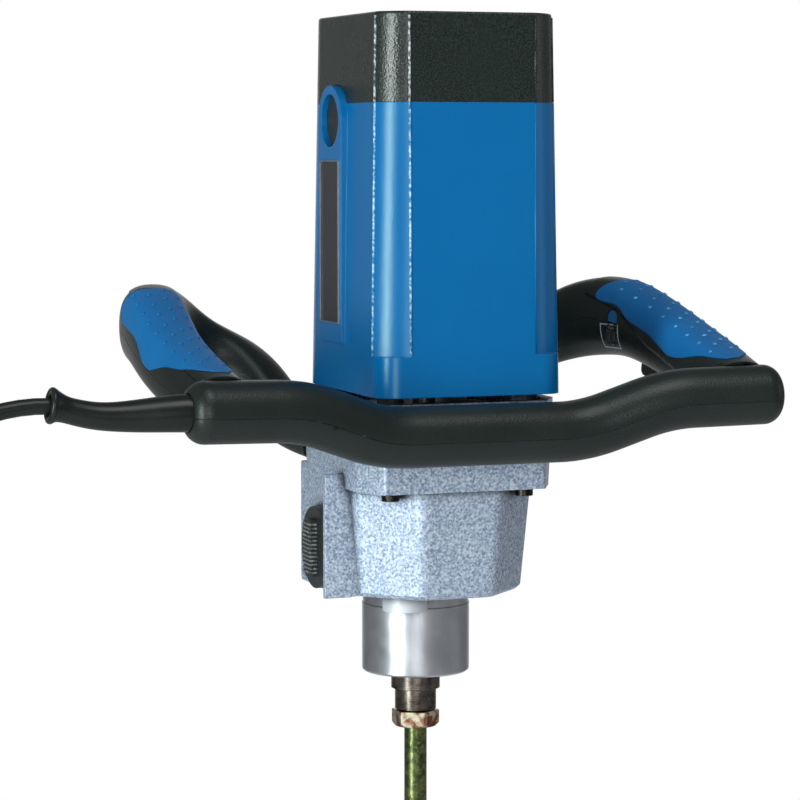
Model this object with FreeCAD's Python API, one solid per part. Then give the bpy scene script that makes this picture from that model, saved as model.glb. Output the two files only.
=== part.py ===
import FreeCAD, Part
import math
import os

# Mixing drill, millimetres. The origin lies on the spindle axis at the middle of the neck's clamping length,
# +Z is up the motor and the front is -Y. Every size below drives the pieces that name it.
V = FreeCAD.Vector
UP = V(0, 0, 1)
BACK = V(0, 1, 0)
SIDE = V(1, 0, 0)
HALF_SHARE = 0.5

# Neck and gear case
neck_r = 28.5
neck_half = 17.3
neck_relief = 0.4
neck_bore_r = 20.0
case_floor_z = 28.0
case_floor_thick = 4.5
lip_z = 84.5
case_top_z = 130.0
outlet_gap = 4.0
case_wall = 4.0
body_wall = 3.2
body_half_w = 49.6
body_front = 69.0
body_front_flat = 21.5
body_front_run = 28.0
body_rear = 36.0
body_rear_flat = 15.0
body_rear_run = 35.0
body_foot_share = 0.915
body_heel_share = 0.875
body_edge_round = 9.0
lip_half_w = 52.6
lip_front = 73.5
lip_front_flat = 43.5
lip_front_run = 17.5
lip_rear = 42.0
lip_rear_flat = 40.0
lip_rear_run = 18.0
lip_flare = 1.9
edge_round = 2.2
boss_r = 9.6
boss_drop = 9.0
pad_half_len = 35.0
pad_half_high = 32.0
pad_mid_y = -2.0
pad_mid_z = 60.0
pad_out = 3.4
rib_reach = 10.0
rib_thick = 3.2
# Motor housing and cap
motor_y = -12.0
housing_half_w = 47.2
housing_front = 81.5
housing_rear = 40.0
front_flat = 33.6
column_run = 11.5
column_bulge = 1.5
rear_round = 25.0
base_round = 12.0
draft_share = 0.0151
ledge_z = 154.5
cap_joint_z = 280.8
cap_top_z = 325.6
cap_wall = 3.2
cap_round = 1.4
tunnel_r = 44.6
bay_half_w = 28.0
bay_deep = 15.5
housing_wall = 3.4
panel_half = 18.0
panel_out = 4.5
panel_foot_z = 158.0
brush_z = 272.0
brush_hole_r = 13.6
badge_half = 14.5
badge_top_z = 251.3
badge_foot_z = 168.6
badge_thick = 0.9
vent_count = 9
vent_wide = 3.2
vent_pitch = 7.0
vent_half_len = 26.0
# Motor inside
stator_r = 42.0
stator_bore_r = 25.6
core_low_z = 168.0
core_high_z = 232.0
armature_r = 24.8
slot_count = 12
slot_wide = 2.6
slot_deep = 11.0
coil_overhang = 15.0
commutator_r = 15.0
commutator_half = 13.0
bar_count = 24
bar_gap = 0.7
shaft_r = 6.0
fan_r = 40.0
fan_low_z = 104.0
fan_high_z = 124.0
blade_count = 11
blade_thick = 2.2
small_bearing_r = 13.0
small_bearing_half = 4.0
top_bearing_r = 11.0
plate_thick = 6.0
# Gears
first_module = 1.25
pinion_teeth = 8
idler_teeth = 35
second_module = 1.5
idler_pinion_teeth = 11
spindle_teeth = 38
pressure_angle = math.radians(25.0)
addendum_share = 0.8
dedendum_share = 1.1
backlash = 0.16
idler_gear_low_z = 66.0
idler_gear_high_z = 77.0
spindle_gear_low_z = 37.0
spindle_gear_high_z = 52.0
idler_shaft_r = 5.0
# Spindle and paddle
spindle_r = 11.0
spindle_nose_r = 13.0
spindle_bore_r = 8.5
nose_z = -28.0
spindle_end_z = -40.1
spindle_top_z = 57.0
hex_flat = 22.0
hex_high = 8.4
hex_turn = 32.0
stud_r = 6.8
stud_long = 22.0
rod_r = 6.0
rod_long = 372.0
cage_r = 50.0
cage_high = 95.0
cage_wire_r = 4.0
cage_ribs = 3
cage_twist = math.radians(80.0)
cage_rib_shares = [(0, 1.0, 1.0), (0.72, 0.93, 0.85), (1, 0.62, 0.6), (1, 0.3, 0.3), (1, 0, 0)]
# Selector knob
knob_r = 21.5
knob_y = -3.0
knob_z = 50.0
knob_base = 4.2
knob_grip_half = 6.2
knob_grip_out = 3.8
knob_grip_long = 15.5
knob_shaft_r = 6.0
knob_rib_count = 9
# Handle frame
bar_r = 15.3
bar_wall = 3.0
bar_y = -97.4
bar_z = 116.0
bar_half = 157.0
bar_inner_half = 54.0
bar_bend_half = 97.0
bar_bend_y = -105.0
bar_bend_z = 131.5
bar_out_y = -110.5
bar_out_z = 133.0
bar_arc_share = 0.3
bar_samples = 31
bar_end_round = 9.0
parting_drop = 2.0
parting_gap = 0.15
bar_bolt_x = 24.0
grip_span = 140.0
grip_run = 186.0
grip_rise = 32.0
grip_half_w = 16.0
grip_half_h = 16.0
grip_path_shares = [
    (0.986, 0.035, 0.06, 0.91, 0.91),
    (1.004, 0.25, 0.31, 0.975, 1.0),
    (1.004, 0.476, 0.625, 1.03, 1.06),
    (0.98, 0.669, 0.9, 1.07, 1.2),
    (0.932, 0.841, 0.984, 1.075, 1.35),
    (0.829, 0.954, 0.82, 1.03, 1.25),
    (0.7, 0.997, 0.54, 1.0, 1.06),
    (0.564, 0.90687, 0.25, 0.99, 0.975),
    (0.45, 0.52549, -0.35, 0.97, 0.925),
]
grip_turn = 6
corner_weight_share = 1.14
grip_shell = 5.4
pad_depth = 2.6
pad_proud = 0.5
pad_low_shares = [-0.2, -0.25, -0.1, 0.4, 0.6]
pad_inner_share = 1.3
pad_outer_share = 0.74
foot_share = 0.8
foot_z = 106.0
trigger_half = 23.0
trigger_half_w = 6.5
trigger_out = 6.5
trigger_deep = 9.0
trigger_travel = 4.5
control_share = 0.15
control_wide = 5.0
control_high = 3.6
control_deep = 7.0
control_up = 4.0
dial_r = 9.0
dial_half = 3.0
dial_up = -6.5
dial_out = 1.2
dial_teeth = 18
play = 0.35
cut_slacks = [0, 0.001, 0.002, 0.005, 0.01]
seat = 0.05
# Cord
cord_r = 4.0
sleeve_long = 64.0
sleeve_lift = 5.6
sleeve_end_slope_share = 0.14
sleeve_root_r = 9.3
sleeve_shares = [
    (0, 0, 1.0), (0.25, -0.07, 0.9), (0.5, -0.125, 0.78), (0.7, 0.03, 0.71),
    (0.86, 0.43, 0.68), (0.93, 0.67, 0.7), (1.0, 0.95, 0.9),
]
bell_deep = 6.0
lead_first = 19.0
lead_span = 76.0
lead_shares = [(0.728, 0.104), (1.0, 0.616), (1.0, 1.142)]
arc_share = 0.45
coil_inner_r = 40.5
coil_pitch = 10.0
coil_turns = 1.875
coil_layer = 9.2
coil_layers = 4
tie_wide = 11.0
tie_thick = 1.6
tie_clear = 0.1
coil_tail = 24.0
plug_r = 18.5
plug_long = 32.0
plug_neck_r = 6.5
plug_neck_long = 24.0
pin_r = 2.4
pin_long = 19.0
pin_half_pitch = 9.5
# Fasteners
screw_r = 2.5
screw_head_r = 4.6
screw_head = 4.2
front_screw = (36.5, -62.0)
rear_screw = (33.5, 29.0)
lug_r = 6.8
front_plate_screw = (42.0, -51.5)
rear_plate_screw = (43.0, 17.0)

bar_path = [
    V(-bar_half, bar_out_y, bar_out_z),
    V(-bar_bend_half, bar_bend_y, bar_bend_z),
    V(-bar_inner_half, bar_y, bar_z),
    V(bar_inner_half, bar_y, bar_z),
    V(bar_bend_half, bar_bend_y, bar_bend_z),
    V(bar_half, bar_out_y, bar_out_z),
]
lug_places = [
    (front_screw[0], front_screw[1]), (-front_screw[0], front_screw[1]),
    (rear_screw[0], rear_screw[1]), (-rear_screw[0], rear_screw[1]),
]
first_distance = first_module * (pinion_teeth + idler_teeth) / 2
second_distance = second_module * (idler_pinion_teeth + spindle_teeth) / 2
idler_y = (second_distance ** 2 - first_distance ** 2 + motor_y ** 2) / (2 * motor_y)
idler_x = -math.sqrt(second_distance ** 2 - idler_y ** 2)
base_z = case_top_z + outlet_gap
plate_z = lip_z + case_floor_thick + seat
plate_screw_places = [
    (front_plate_screw[0], front_plate_screw[1]), (-front_plate_screw[0], front_plate_screw[1]),
    (rear_plate_screw[0], rear_plate_screw[1]), (-rear_plate_screw[0], rear_plate_screw[1]),
]


def cyl(r, low, high, x=0, y=0):
    return Part.makeCylinder(r, high - low, V(x, y, low), UP)


def rod(r, start, end):
    return Part.makeCylinder(r, (end - start).Length, start, end - start)


def block(x0, x1, y0, y1, z0, z1):
    return Part.makeBox(x1 - x0, y1 - y0, z1 - z0, V(x0, y0, z0))


def loop(points):
    return Part.makePolygon(points + points[:1])


def arc_by_corner(start, corner, end):
    """The round edge that leaves start toward corner and reaches end from corner, both runs being equal."""
    weight = (corner - start).normalize().dot((end - start).normalize())
    middle = (start + corner * (2 * weight) + end) * (1 / (2 + 2 * weight))
    return Part.Arc(start, middle, end).toShape()


def rounded(points, radii):
    """Closed outline through flat corner points, each corner turned with its own radius, 0 for a sharp one."""
    edges = []
    starts = []
    ends = []
    count = len(points)
    for i in range(count):
        here = points[i]
        to_last = (points[i - 1] - here).normalize()
        to_next = (points[(i + 1) % count] - here).normalize()
        half = math.acos(max(-1, min(1, to_last.dot(to_next)))) / 2
        cut = radii[i] / math.tan(half)
        starts.append(here + to_last * cut)
        ends.append(here + to_next * cut)
    for i in range(count):
        if radii[i] > 0:
            edges.append(arc_by_corner(starts[i], points[i], ends[i]))
        edges.append(Part.LineSegment(ends[i], starts[(i + 1) % count]).toShape())
    return Part.Wire(edges)


def prism(wire, depth):
    return Part.Face(wire).extrude(depth)


def clean(shape):
    return shape.removeSplitter()


def largest(shape):
    return max(shape.Solids, key=lambda solid: solid.Volume)


def put(shape, name):
    shape.exportStep("parts/" + name + ".step")


def chamfered(half_w, front, front_flat_half, front_run, rear, rear_flat_half, rear_run, z):
    return [
        V(-front_flat_half, -front, z), V(front_flat_half, -front, z),
        V(half_w, -front + front_run, z), V(half_w, rear - rear_run, z),
        V(rear_flat_half, rear, z), V(-rear_flat_half, rear, z),
        V(-half_w, rear - rear_run, z), V(-half_w, -front + front_run, z),
    ]


def body_outline(z, share, inset):
    points = chamfered(body_half_w * share, body_front * share, body_front_flat * share, body_front_run * share,
                       body_rear, body_rear_flat, body_rear_run * share, z)
    wire = rounded(points, [body_edge_round] * len(points))
    return wire if inset == 0 else Part.Face(wire).makeOffset2D(-inset).OuterWire


def lip_outline(z, grow, inset):
    points = chamfered(lip_half_w + grow, lip_front + grow * HALF_SHARE, lip_front_flat, lip_front_run,
                       lip_rear, lip_rear_flat, lip_rear_run, z)
    wire = rounded(points, [edge_round] * len(points))
    return wire if inset == 0 else Part.Face(wire).makeOffset2D(-inset).OuterWire


def knob_hole(r, deep):
    return rod(r, V(-body_half_w - deep, knob_y, knob_z), V(-body_half_w + deep, knob_y, knob_z))


def gear_case():
    shell = Part.makeLoft([body_outline(case_floor_z, body_heel_share, 0),
                           body_outline(case_floor_z + edge_round, body_foot_share, 0),
                           body_outline(lip_z, 1, 0)], True, True)
    shell = shell.fuse(Part.makeLoft([lip_outline(lip_z, 0, 0), lip_outline(case_top_z, lip_flare, 0)], True, True))
    pad_x = -body_half_w - pad_out
    pad_points = [
        V(pad_x, pad_mid_y - pad_half_len, pad_mid_z - pad_half_high),
        V(pad_x, pad_mid_y + pad_half_len, pad_mid_z - pad_half_high),
        V(pad_x, pad_mid_y + pad_half_len, pad_mid_z + pad_half_high),
        V(pad_x, pad_mid_y - pad_half_len, pad_mid_z + pad_half_high),
    ]
    shell = shell.fuse(prism(rounded(pad_points, [edge_round] * len(pad_points)), SIDE * (pad_out + case_wall * 2)))
    rib_y = pad_mid_y - pad_half_len
    shell = shell.fuse(block(pad_x - rib_reach, pad_x + case_wall, rib_y, rib_y + rib_thick,
                             pad_mid_z - pad_half_high, pad_mid_z + pad_half_high))
    shell = shell.fuse(cyl(boss_r + case_wall * HALF_SHARE, case_floor_z - boss_drop, case_floor_z + case_wall,
                           idler_x, idler_y))
    shell = shell.fuse(cyl(neck_r - seat - case_wall, case_floor_z - case_floor_thick, case_floor_z + case_wall))
    for side in (-1, 1):
        shell = shell.fuse(block(side * bar_bolt_x - lug_r, side * bar_bolt_x + lug_r, bar_y, -lip_front + case_wall,
                                 bar_z - lug_r, bar_z + lug_r))
    shell = shell.cut(Part.makeLoft([body_outline(case_floor_z + case_floor_thick, body_foot_share, body_wall),
                                     body_outline(lip_z, 1, body_wall)], True, True))
    shell = shell.cut(prism(body_outline(lip_z, 1, body_wall), UP * case_floor_thick))
    floor_z = lip_z + case_floor_thick
    shell = shell.cut(prism(lip_outline(floor_z, 0, case_wall), UP * (case_top_z - floor_z + 1)))
    arms = []
    for side in (-1, 1):
        out = V(side * lip_rear_run, lip_half_w - lip_rear_flat, 0).normalize()
        mid = V(side * (lip_half_w + lip_rear_flat) / 2, lip_rear - lip_rear_run / 2, foot_z)
        arms.append(rod(screw_r, mid - out * lug_r, mid + out * lug_r))
        shell = shell.fuse(rod(lug_r, mid - out * (lug_r + case_wall), mid))
    for x, y in lug_places:
        shell = shell.fuse(cyl(lug_r, lip_z, base_z, x, y))
    for x, y in lug_places:
        shell = shell.cut(cyl(screw_r + play, lip_z - 1, base_z + 1, x, y))
    for x, y in plate_screw_places:
        shell = shell.cut(cyl(screw_r, lip_z + 1, floor_z + 1, x, y))
    for side, arm in zip((-1, 1), arms):
        shell = shell.cut(arm)
        shell = shell.cut(rod(screw_r + play, V(side * bar_bolt_x, bar_y, bar_z + screw_r),
                              V(side * bar_bolt_x, -lip_front + case_wall + 1, bar_z + screw_r)))
    shell = shell.cut(bar_solid(bar_r + seat))
    shell = shell.cut(cyl(boss_r, case_floor_z - boss_drop + case_wall * HALF_SHARE,
                          case_floor_z + case_floor_thick + 1, idler_x, idler_y))
    shell = shell.cut(cyl(neck_bore_r, case_floor_z - case_floor_thick - 1, case_floor_z + case_wall + 1))
    shell = shell.cut(knob_hole(knob_shaft_r + backlash * HALF_SHARE, case_wall * 2 + pad_out))
    return clean(shell)


def neck_collar():
    low = -neck_half
    clamp_top = case_floor_z - boss_drop - 1
    ring = cyl(neck_r, low, clamp_top)
    ring = ring.fuse(cyl(neck_r - neck_relief, clamp_top - 1, case_floor_z - seat))
    ring = ring.fuse(Part.makeCone(neck_r - 1, neck_r, 1, V(0, 0, low - 1), UP))
    ring = ring.cut(cyl(neck_bore_r, low + case_wall, case_floor_z + 1))
    ring = ring.cut(cyl(neck_r - case_wall, case_floor_z - case_floor_thick - seat, case_floor_z + 1))
    ring = ring.cut(cyl(spindle_nose_r + case_wall, low - case_wall, low + case_wall + 1))
    ring = ring.cut(cyl(boss_r + case_wall * HALF_SHARE + seat, case_floor_z - boss_drop - 1, case_floor_z + 1,
                        idler_x, idler_y))
    return clean(ring)


def bearing(outer, inner, half, place, axis=None):
    """Closed ball bearing: two races and a shield between them, one solid per race."""
    axis = axis or UP
    start = place - axis * half
    wall = (outer - inner) / 4
    outer_ring = Part.makeCylinder(outer, half * 2, start, axis)
    outer_ring = outer_ring.cut(Part.makeCylinder(outer - wall, half * 2, start, axis))
    inner_ring = Part.makeCylinder(inner + wall, half * 2, start, axis)
    inner_ring = inner_ring.cut(Part.makeCylinder(inner, half * 2, start, axis))
    shield = Part.makeCylinder(outer - wall, half, start + axis * (half / 2), axis)
    shield = shield.cut(Part.makeCylinder(inner + wall, half, start + axis * (half / 2), axis))
    return clean(outer_ring.fuse(shield).fuse(inner_ring))


def bearing_plate():
    low = plate_z
    plate = prism(lip_outline(low, 0, case_wall + play), UP * plate_thick)
    plate = plate.fuse(cyl(small_bearing_r + case_wall, low, low + plate_thick + small_bearing_half * 2, 0, motor_y))
    plate = plate.fuse(cyl(boss_r + case_wall * HALF_SHARE, low, low + plate_thick + case_wall, idler_x, idler_y))
    for x, y in lug_places:
        plate = plate.cut(cyl(lug_r + play * 2, low - 1, low + plate_thick + 1, x, y))
    plate = plate.cut(cyl(small_bearing_r + seat, low + plate_thick, low + plate_thick * 4, 0, motor_y))
    plate = plate.cut(cyl(shaft_r + 1, low - 1, low + plate_thick + 1, 0, motor_y))
    plate = plate.cut(cyl(boss_r, low - 1, low + plate_thick, idler_x, idler_y))
    for x, y in plate_screw_places:
        plate = plate.cut(cyl(screw_r + play, low - 1, low + plate_thick + 1, x, y))
    return clean(plate)


def plate_screws():
    top = plate_z + plate_thick
    return [cyl(screw_head_r, top, top + screw_head * HALF_SHARE, x, y).fuse(
        cyl(screw_r - seat, lip_z + case_floor_thick * HALF_SHARE, top, x, y)) for x, y in plate_screw_places]


def housing_outline(z, column):
    """Plan of the housing at a height. column: the front corners are bulged columns; otherwise plain rounds."""
    grow = (cap_top_z - z) * draft_share
    half = housing_half_w + grow
    front = -housing_front - grow
    rear = housing_rear + grow
    turn = rear_round
    edges = []
    right = [V(front_flat, front, z), V(half, front + column_run, z)]
    left = [V(-half, front + column_run, z), V(-front_flat, front, z)]
    if column:
        for start, end in (right, left):
            across = (end - start).normalize()
            middle = (start + end) * HALF_SHARE + V(across.y, -across.x, 0) * column_bulge
            edges.append(Part.Arc(start, middle, end).toShape())
    else:
        right = [V(half - base_round, front, z), V(half, front + base_round, z)]
        left = [V(-half, front + base_round, z), V(-half + base_round, front, z)]
        edges.append(arc_by_corner(right[0], V(half, front, z), right[1]))
        edges.append(arc_by_corner(left[0], V(-half, front, z), left[1]))
    rear_right = [V(half, rear - turn, z), V(half - turn, rear, z)]
    rear_left = [V(-half + turn, rear, z), V(-half, rear - turn, z)]
    edges.insert(1, Part.LineSegment(right[1], rear_right[0]).toShape())
    edges.insert(2, arc_by_corner(rear_right[0], V(half, rear, z), rear_right[1]))
    edges.insert(3, Part.LineSegment(rear_right[1], rear_left[0]).toShape())
    edges.insert(4, arc_by_corner(rear_left[0], V(-half, rear, z), rear_left[1]))
    edges.insert(5, Part.LineSegment(rear_left[1], left[0]).toShape())
    edges.append(Part.LineSegment(left[1], right[0]).toShape())
    return Part.Wire(edges)


def arch(side, r, foot_z, depth_in, depth_out):
    """Raised panel with a round top over the brush opening, from inside the wall to its outer face."""
    outer_x = side * (housing_half_w + depth_out)
    foot_left = V(outer_x, motor_y - r, foot_z)
    foot_right = V(outer_x, motor_y + r, foot_z)
    top_left = V(outer_x, motor_y - r, brush_z)
    top_right = V(outer_x, motor_y + r, brush_z)
    wire = Part.Wire([
        Part.LineSegment(foot_left, foot_right).toShape(),
        Part.LineSegment(foot_right, top_right).toShape(),
        Part.Arc(top_right, V(outer_x, motor_y, brush_z + r), top_left).toShape(),
        Part.LineSegment(top_left, foot_left).toShape(),
    ])
    return prism(wire, SIDE * (-side * (depth_out + depth_in)))


def badge_wire(x, inset):
    half = badge_half - inset
    points = [V(x, motor_y - half, badge_foot_z + inset), V(x, motor_y + half, badge_foot_z + inset),
              V(x, motor_y + half, badge_top_z - inset), V(x, motor_y - half, badge_top_z - inset)]
    return rounded(points, [edge_round] * len(points))


def motor_housing():
    body = Part.makeLoft([housing_outline(ledge_z, True), housing_outline(cap_joint_z, True)], True, True)
    body = body.fuse(Part.makeLoft([housing_outline(base_z, False), housing_outline(ledge_z, False)], True, True))
    for side in (-1, 1):
        body = body.fuse(arch(side, panel_half, panel_foot_z, housing_wall, panel_out))
    body = body.cut(cyl(tunnel_r, base_z - 1, cap_top_z, 0, motor_y))
    bay_y = -housing_front + housing_wall
    body = body.cut(block(-bay_half_w, bay_half_w, bay_y, bay_y + bay_deep, base_z + housing_wall, cap_joint_z + 1))
    for spot in range(4):
        angle = math.radians(45 + 90 * spot)
        rib = block(stator_r + seat, tunnel_r + 1, -rib_thick, rib_thick, core_low_z - rib_thick, core_high_z)
        rib.rotate(V(0, 0, 0), UP, math.degrees(angle))
        rib.translate(V(0, motor_y, 0))
        body = body.fuse(rib)
    for x, y in lug_places:
        body = body.cut(cyl(screw_r, base_z - 1, ledge_z, x, y))
        body = body.cut(cyl(screw_r, ledge_z + rib_reach * 8, cap_joint_z + 1, x, y))
    for side in (-1, 1):
        body = body.cut(rod(brush_hole_r, V(side * tunnel_r * HALF_SHARE, motor_y, brush_z),
                            V(side * housing_half_w * 2, motor_y, brush_z)))
    outer_x = -housing_half_w - panel_out
    body = body.cut(prism(badge_wire(outer_x, 0), SIDE * badge_thick))
    return clean(body)


def badge_plate():
    return prism(badge_wire(-housing_half_w - panel_out + seat, play), SIDE * (badge_thick - seat))


def end_cap():
    low = cap_joint_z + seat
    cap = Part.makeLoft([housing_outline(low, True), housing_outline(cap_top_z, True)], True, True)
    rim = [edge for edge in cap.Edges if edge.BoundBox.ZMin > cap_top_z - seat]
    cap = cap.makeFillet(cap_round, rim)
    cap = cap.cut(cyl(tunnel_r, low - 1, cap_top_z - cap_wall, 0, motor_y))
    bay_y = -housing_front + housing_wall
    cap = cap.cut(block(-bay_half_w, bay_half_w, bay_y, bay_y + bay_deep, low - 1, cap_top_z - cap_wall))
    seat_low = cap_top_z - cap_wall - top_bearing_r * 2
    cap = cap.fuse(cyl(top_bearing_r + case_wall, seat_low, cap_top_z - cap_wall, 0, motor_y))
    cap = cap.cut(cyl(top_bearing_r + seat, seat_low - 1, seat_low + small_bearing_half * 2, 0, motor_y))
    cap = cap.cut(cyl(shaft_r + 1, seat_low - 1, cap_top_z - cap_wall - 1, 0, motor_y))
    for side in (-1, 1):
        cap = cap.cut(arch(side, panel_half + play, cap_joint_z - 1, tunnel_r, panel_out + 1))
    for i in range(vent_count):
        x = (i - (vent_count - 1) / 2) * vent_pitch
        if abs(x) <= top_bearing_r + case_wall:
            reach = [(-vent_half_len, -top_bearing_r - case_wall), (top_bearing_r + case_wall, vent_half_len)]
        else:
            reach = [(-vent_half_len, vent_half_len)]
        for near, far in reach:
            cap = cap.cut(block(x - vent_wide / 2, x + vent_wide / 2, motor_y + near, motor_y + far,
                                cap_top_z - cap_wall - 1, cap_top_z + 1))
    for x, y in lug_places:
        cap = cap.cut(cyl(screw_r + play, low - 1, cap_top_z + 1, x, y))
        cap = cap.cut(cyl(screw_head_r + play, cap_top_z - screw_head - 1, cap_top_z + 1, x, y))
    return clean(cap)


def screws(places, head_z, end_z, recess=True):
    """Socket-head screws that share one node. end_z lies on the far side of the head."""
    made = []
    way = 1 if head_z > end_z else -1
    for x, y in places:
        head = Part.makeCylinder(screw_head_r, screw_head, V(x, y, head_z), UP * way)
        shank = Part.makeCylinder(screw_r - seat, abs(head_z - end_z), V(x, y, head_z), UP * -way)
        screw = head.fuse(shank)
        if recess:
            key = Part.makePolygon([V(x + screw_r * math.cos(math.radians(60 * i)),
                                      y + screw_r * math.sin(math.radians(60 * i)),
                                      head_z + way * screw_head) for i in range(7)])
            screw = screw.cut(prism(key, UP * (-way * screw_head * HALF_SHARE)))
        made.append(clean(screw))
    return made


def stator_core():
    core = cyl(stator_r, core_low_z, core_high_z, 0, motor_y)
    core = core.cut(cyl(stator_bore_r, core_low_z - 1, core_high_z + 1, 0, motor_y))
    for side in (-1, 1):
        pocket = cyl(stator_r - housing_wall * 2, core_low_z - 1, core_high_z + 1, 0, motor_y)
        keep = block(-stator_bore_r * 2, stator_bore_r * 2, motor_y - armature_r * HALF_SHARE,
                     motor_y + armature_r * HALF_SHARE, core_low_z - 1, core_high_z + 1)
        window = pocket.common(keep).cut(cyl(stator_bore_r, core_low_z - 1, core_high_z + 1, 0, motor_y))
        core = core.cut(window)
    return clean(core)


def field_coils():
    """Two saddle coils, wound through the windows of the stator and closed over its ends."""
    made = []
    for side in (-1, 1):
        deep = armature_r * HALF_SHARE - 1
        inner = stator_bore_r + 1
        outer = stator_r - housing_wall * 2 - 1
        ring = cyl(outer, core_low_z - coil_overhang, core_high_z + coil_overhang, 0, motor_y)
        ring = ring.cut(cyl(inner, core_low_z - coil_overhang - 1, core_high_z + coil_overhang + 1, 0, motor_y))
        half = block(-outer, outer, motor_y + (side - 1) / 2 * outer + side * backlash,
                     motor_y + (side + 1) / 2 * outer + side * backlash,
                     core_low_z - coil_overhang, core_high_z + coil_overhang)
        ring = ring.common(half)
        core_zone = block(-outer, outer, motor_y + side * deep - (1 - side) / 2 * outer,
                          motor_y + side * deep + (1 + side) / 2 * outer, core_low_z - backlash, core_high_z + backlash)
        made.append(clean(ring.cut(core_zone)))
    return made


def gear_wire(teeth, module, place, phase, z):
    """Toothed outline with involute flanks given at root, pitch and tip."""
    pitch_r = teeth * module / 2
    base_r = pitch_r * math.cos(pressure_angle)
    tip_r = pitch_r + addendum_share * module
    root_r = pitch_r - dedendum_share * module

    def half_angle(r):
        turn = math.acos(min(1, base_r / r))
        at_pitch = math.tan(pressure_angle) - pressure_angle
        return (math.pi / 2 / teeth) - backlash / 2 / pitch_r + at_pitch - (math.tan(turn) - turn)

    points = []
    for i in range(teeth):
        middle = phase + 2 * math.pi * i / teeth
        for r, way in ((root_r, -1), (pitch_r, -1), (tip_r, -1), (tip_r, 1), (pitch_r, 1), (root_r, 1)):
            angle = middle + way * half_angle(max(r, base_r))
            points.append(V(place[0] + r * math.cos(angle), place[1] + r * math.sin(angle), z))
    return loop(points)


def gear_phases():
    """Turns at which a tooth of one gear meets a gap of the other, for both pairs."""
    to_motor = math.atan2(motor_y - idler_y, -idler_x)
    to_spindle = math.atan2(-idler_y, -idler_x)
    return {
        "idler_gear": to_motor,
        "pinion": to_motor + math.pi + math.pi / pinion_teeth,
        "idler_pinion": to_spindle,
        "spindle_gear": to_spindle + math.pi + math.pi / spindle_teeth,
    }


def armature_shaft():
    seat_low = cap_top_z - cap_wall - top_bearing_r * 2
    low = plate_z
    shaft = cyl(shaft_r - seat, low - 1, seat_low + small_bearing_half * 2, 0, motor_y)
    phase = gear_phases()["pinion"]
    teeth = prism(gear_wire(pinion_teeth, first_module, (0, motor_y), phase, idler_gear_low_z - 1),
                  UP * (low - idler_gear_low_z))
    return clean(shaft.fuse(teeth))


def armature_core():
    core = cyl(armature_r, core_low_z, core_high_z, 0, motor_y)
    for i in range(slot_count):
        slot = block(armature_r - slot_deep, armature_r + 1, -slot_wide / 2, slot_wide / 2,
                     core_low_z - 1, core_high_z + 1)
        slot.rotate(V(0, 0, 0), UP, 360 * i / slot_count)
        slot.translate(V(0, motor_y, 0))
        core = core.cut(slot)
    return clean(core.cut(cyl(shaft_r, core_low_z - 1, core_high_z + 1, 0, motor_y)))


def armature_windings():
    """Lacquered end turns above and below the core."""
    made = []
    for low, high in ((core_low_z - coil_overhang, core_low_z - seat), (core_high_z + seat, core_high_z + coil_overhang)):
        tall = high - low
        points = [V(shaft_r + 1, motor_y, low), V(armature_r - slot_wide, motor_y, low),
                  V(armature_r - 1, motor_y, low + tall / 2), V(armature_r - slot_wide, motor_y, high),
                  V(shaft_r + 1, motor_y, high)]
        face = Part.Face(rounded(points, [0, slot_wide, slot_wide * 2, slot_wide, 0]))
        made.append(face.revolve(V(0, motor_y, 0), UP, 360))
    return made


def commutator():
    low = brush_z - commutator_half
    body = cyl(commutator_r, low, brush_z + commutator_half, 0, motor_y)
    for i in range(bar_count):
        gap = block(commutator_r - 1, commutator_r + 1, -bar_gap / 2, bar_gap / 2, low - 1,
                    brush_z + commutator_half + 1)
        gap.rotate(V(0, 0, 0), UP, 360 * i / bar_count)
        gap.translate(V(0, motor_y, 0))
        body = body.cut(gap)
    return clean(body.cut(cyl(shaft_r, low - 1, brush_z + commutator_half + 1, 0, motor_y)))


def cooling_fan():
    hub_r = shaft_r + case_wall
    fan = cyl(fan_r, fan_high_z - blade_thick, fan_high_z, 0, motor_y)
    fan = fan.fuse(cyl(hub_r, fan_low_z, fan_high_z, 0, motor_y))
    for i in range(blade_count):
        inner = hub_r - 1
        blade_points = [V(inner, 0, fan_low_z), V(fan_r * HALF_SHARE, blade_thick * 2, fan_low_z),
                        V(fan_r, 0, fan_low_z)]
        outer_side = Part.Arc(blade_points[0], blade_points[1], blade_points[2]).toShape()
        shifted = [p + V(0, blade_thick, 0) for p in blade_points]
        inner_side = Part.Arc(shifted[2], shifted[1], shifted[0]).toShape()
        ends = [Part.LineSegment(blade_points[2], shifted[2]).toShape(),
                Part.LineSegment(shifted[0], blade_points[0]).toShape()]
        blade = prism(Part.Wire([outer_side, ends[0], inner_side, ends[1]]), UP * (fan_high_z - fan_low_z))
        blade.rotate(V(0, 0, 0), UP, 360 * i / blade_count)
        blade.translate(V(0, motor_y, 0))
        fan = fan.fuse(blade)
    fan = fan.common(cyl(fan_r, fan_low_z, fan_high_z, 0, motor_y))
    return clean(fan.cut(cyl(shaft_r, fan_low_z - 1, fan_high_z + 1, 0, motor_y)))


def air_guide():
    low = base_z + housing_wall
    ring = cyl(tunnel_r - seat, low, low + rib_thick, 0, motor_y)
    return clean(ring.cut(cyl(armature_r + case_wall, low - 1, low + rib_thick + 1, 0, motor_y)))


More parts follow.
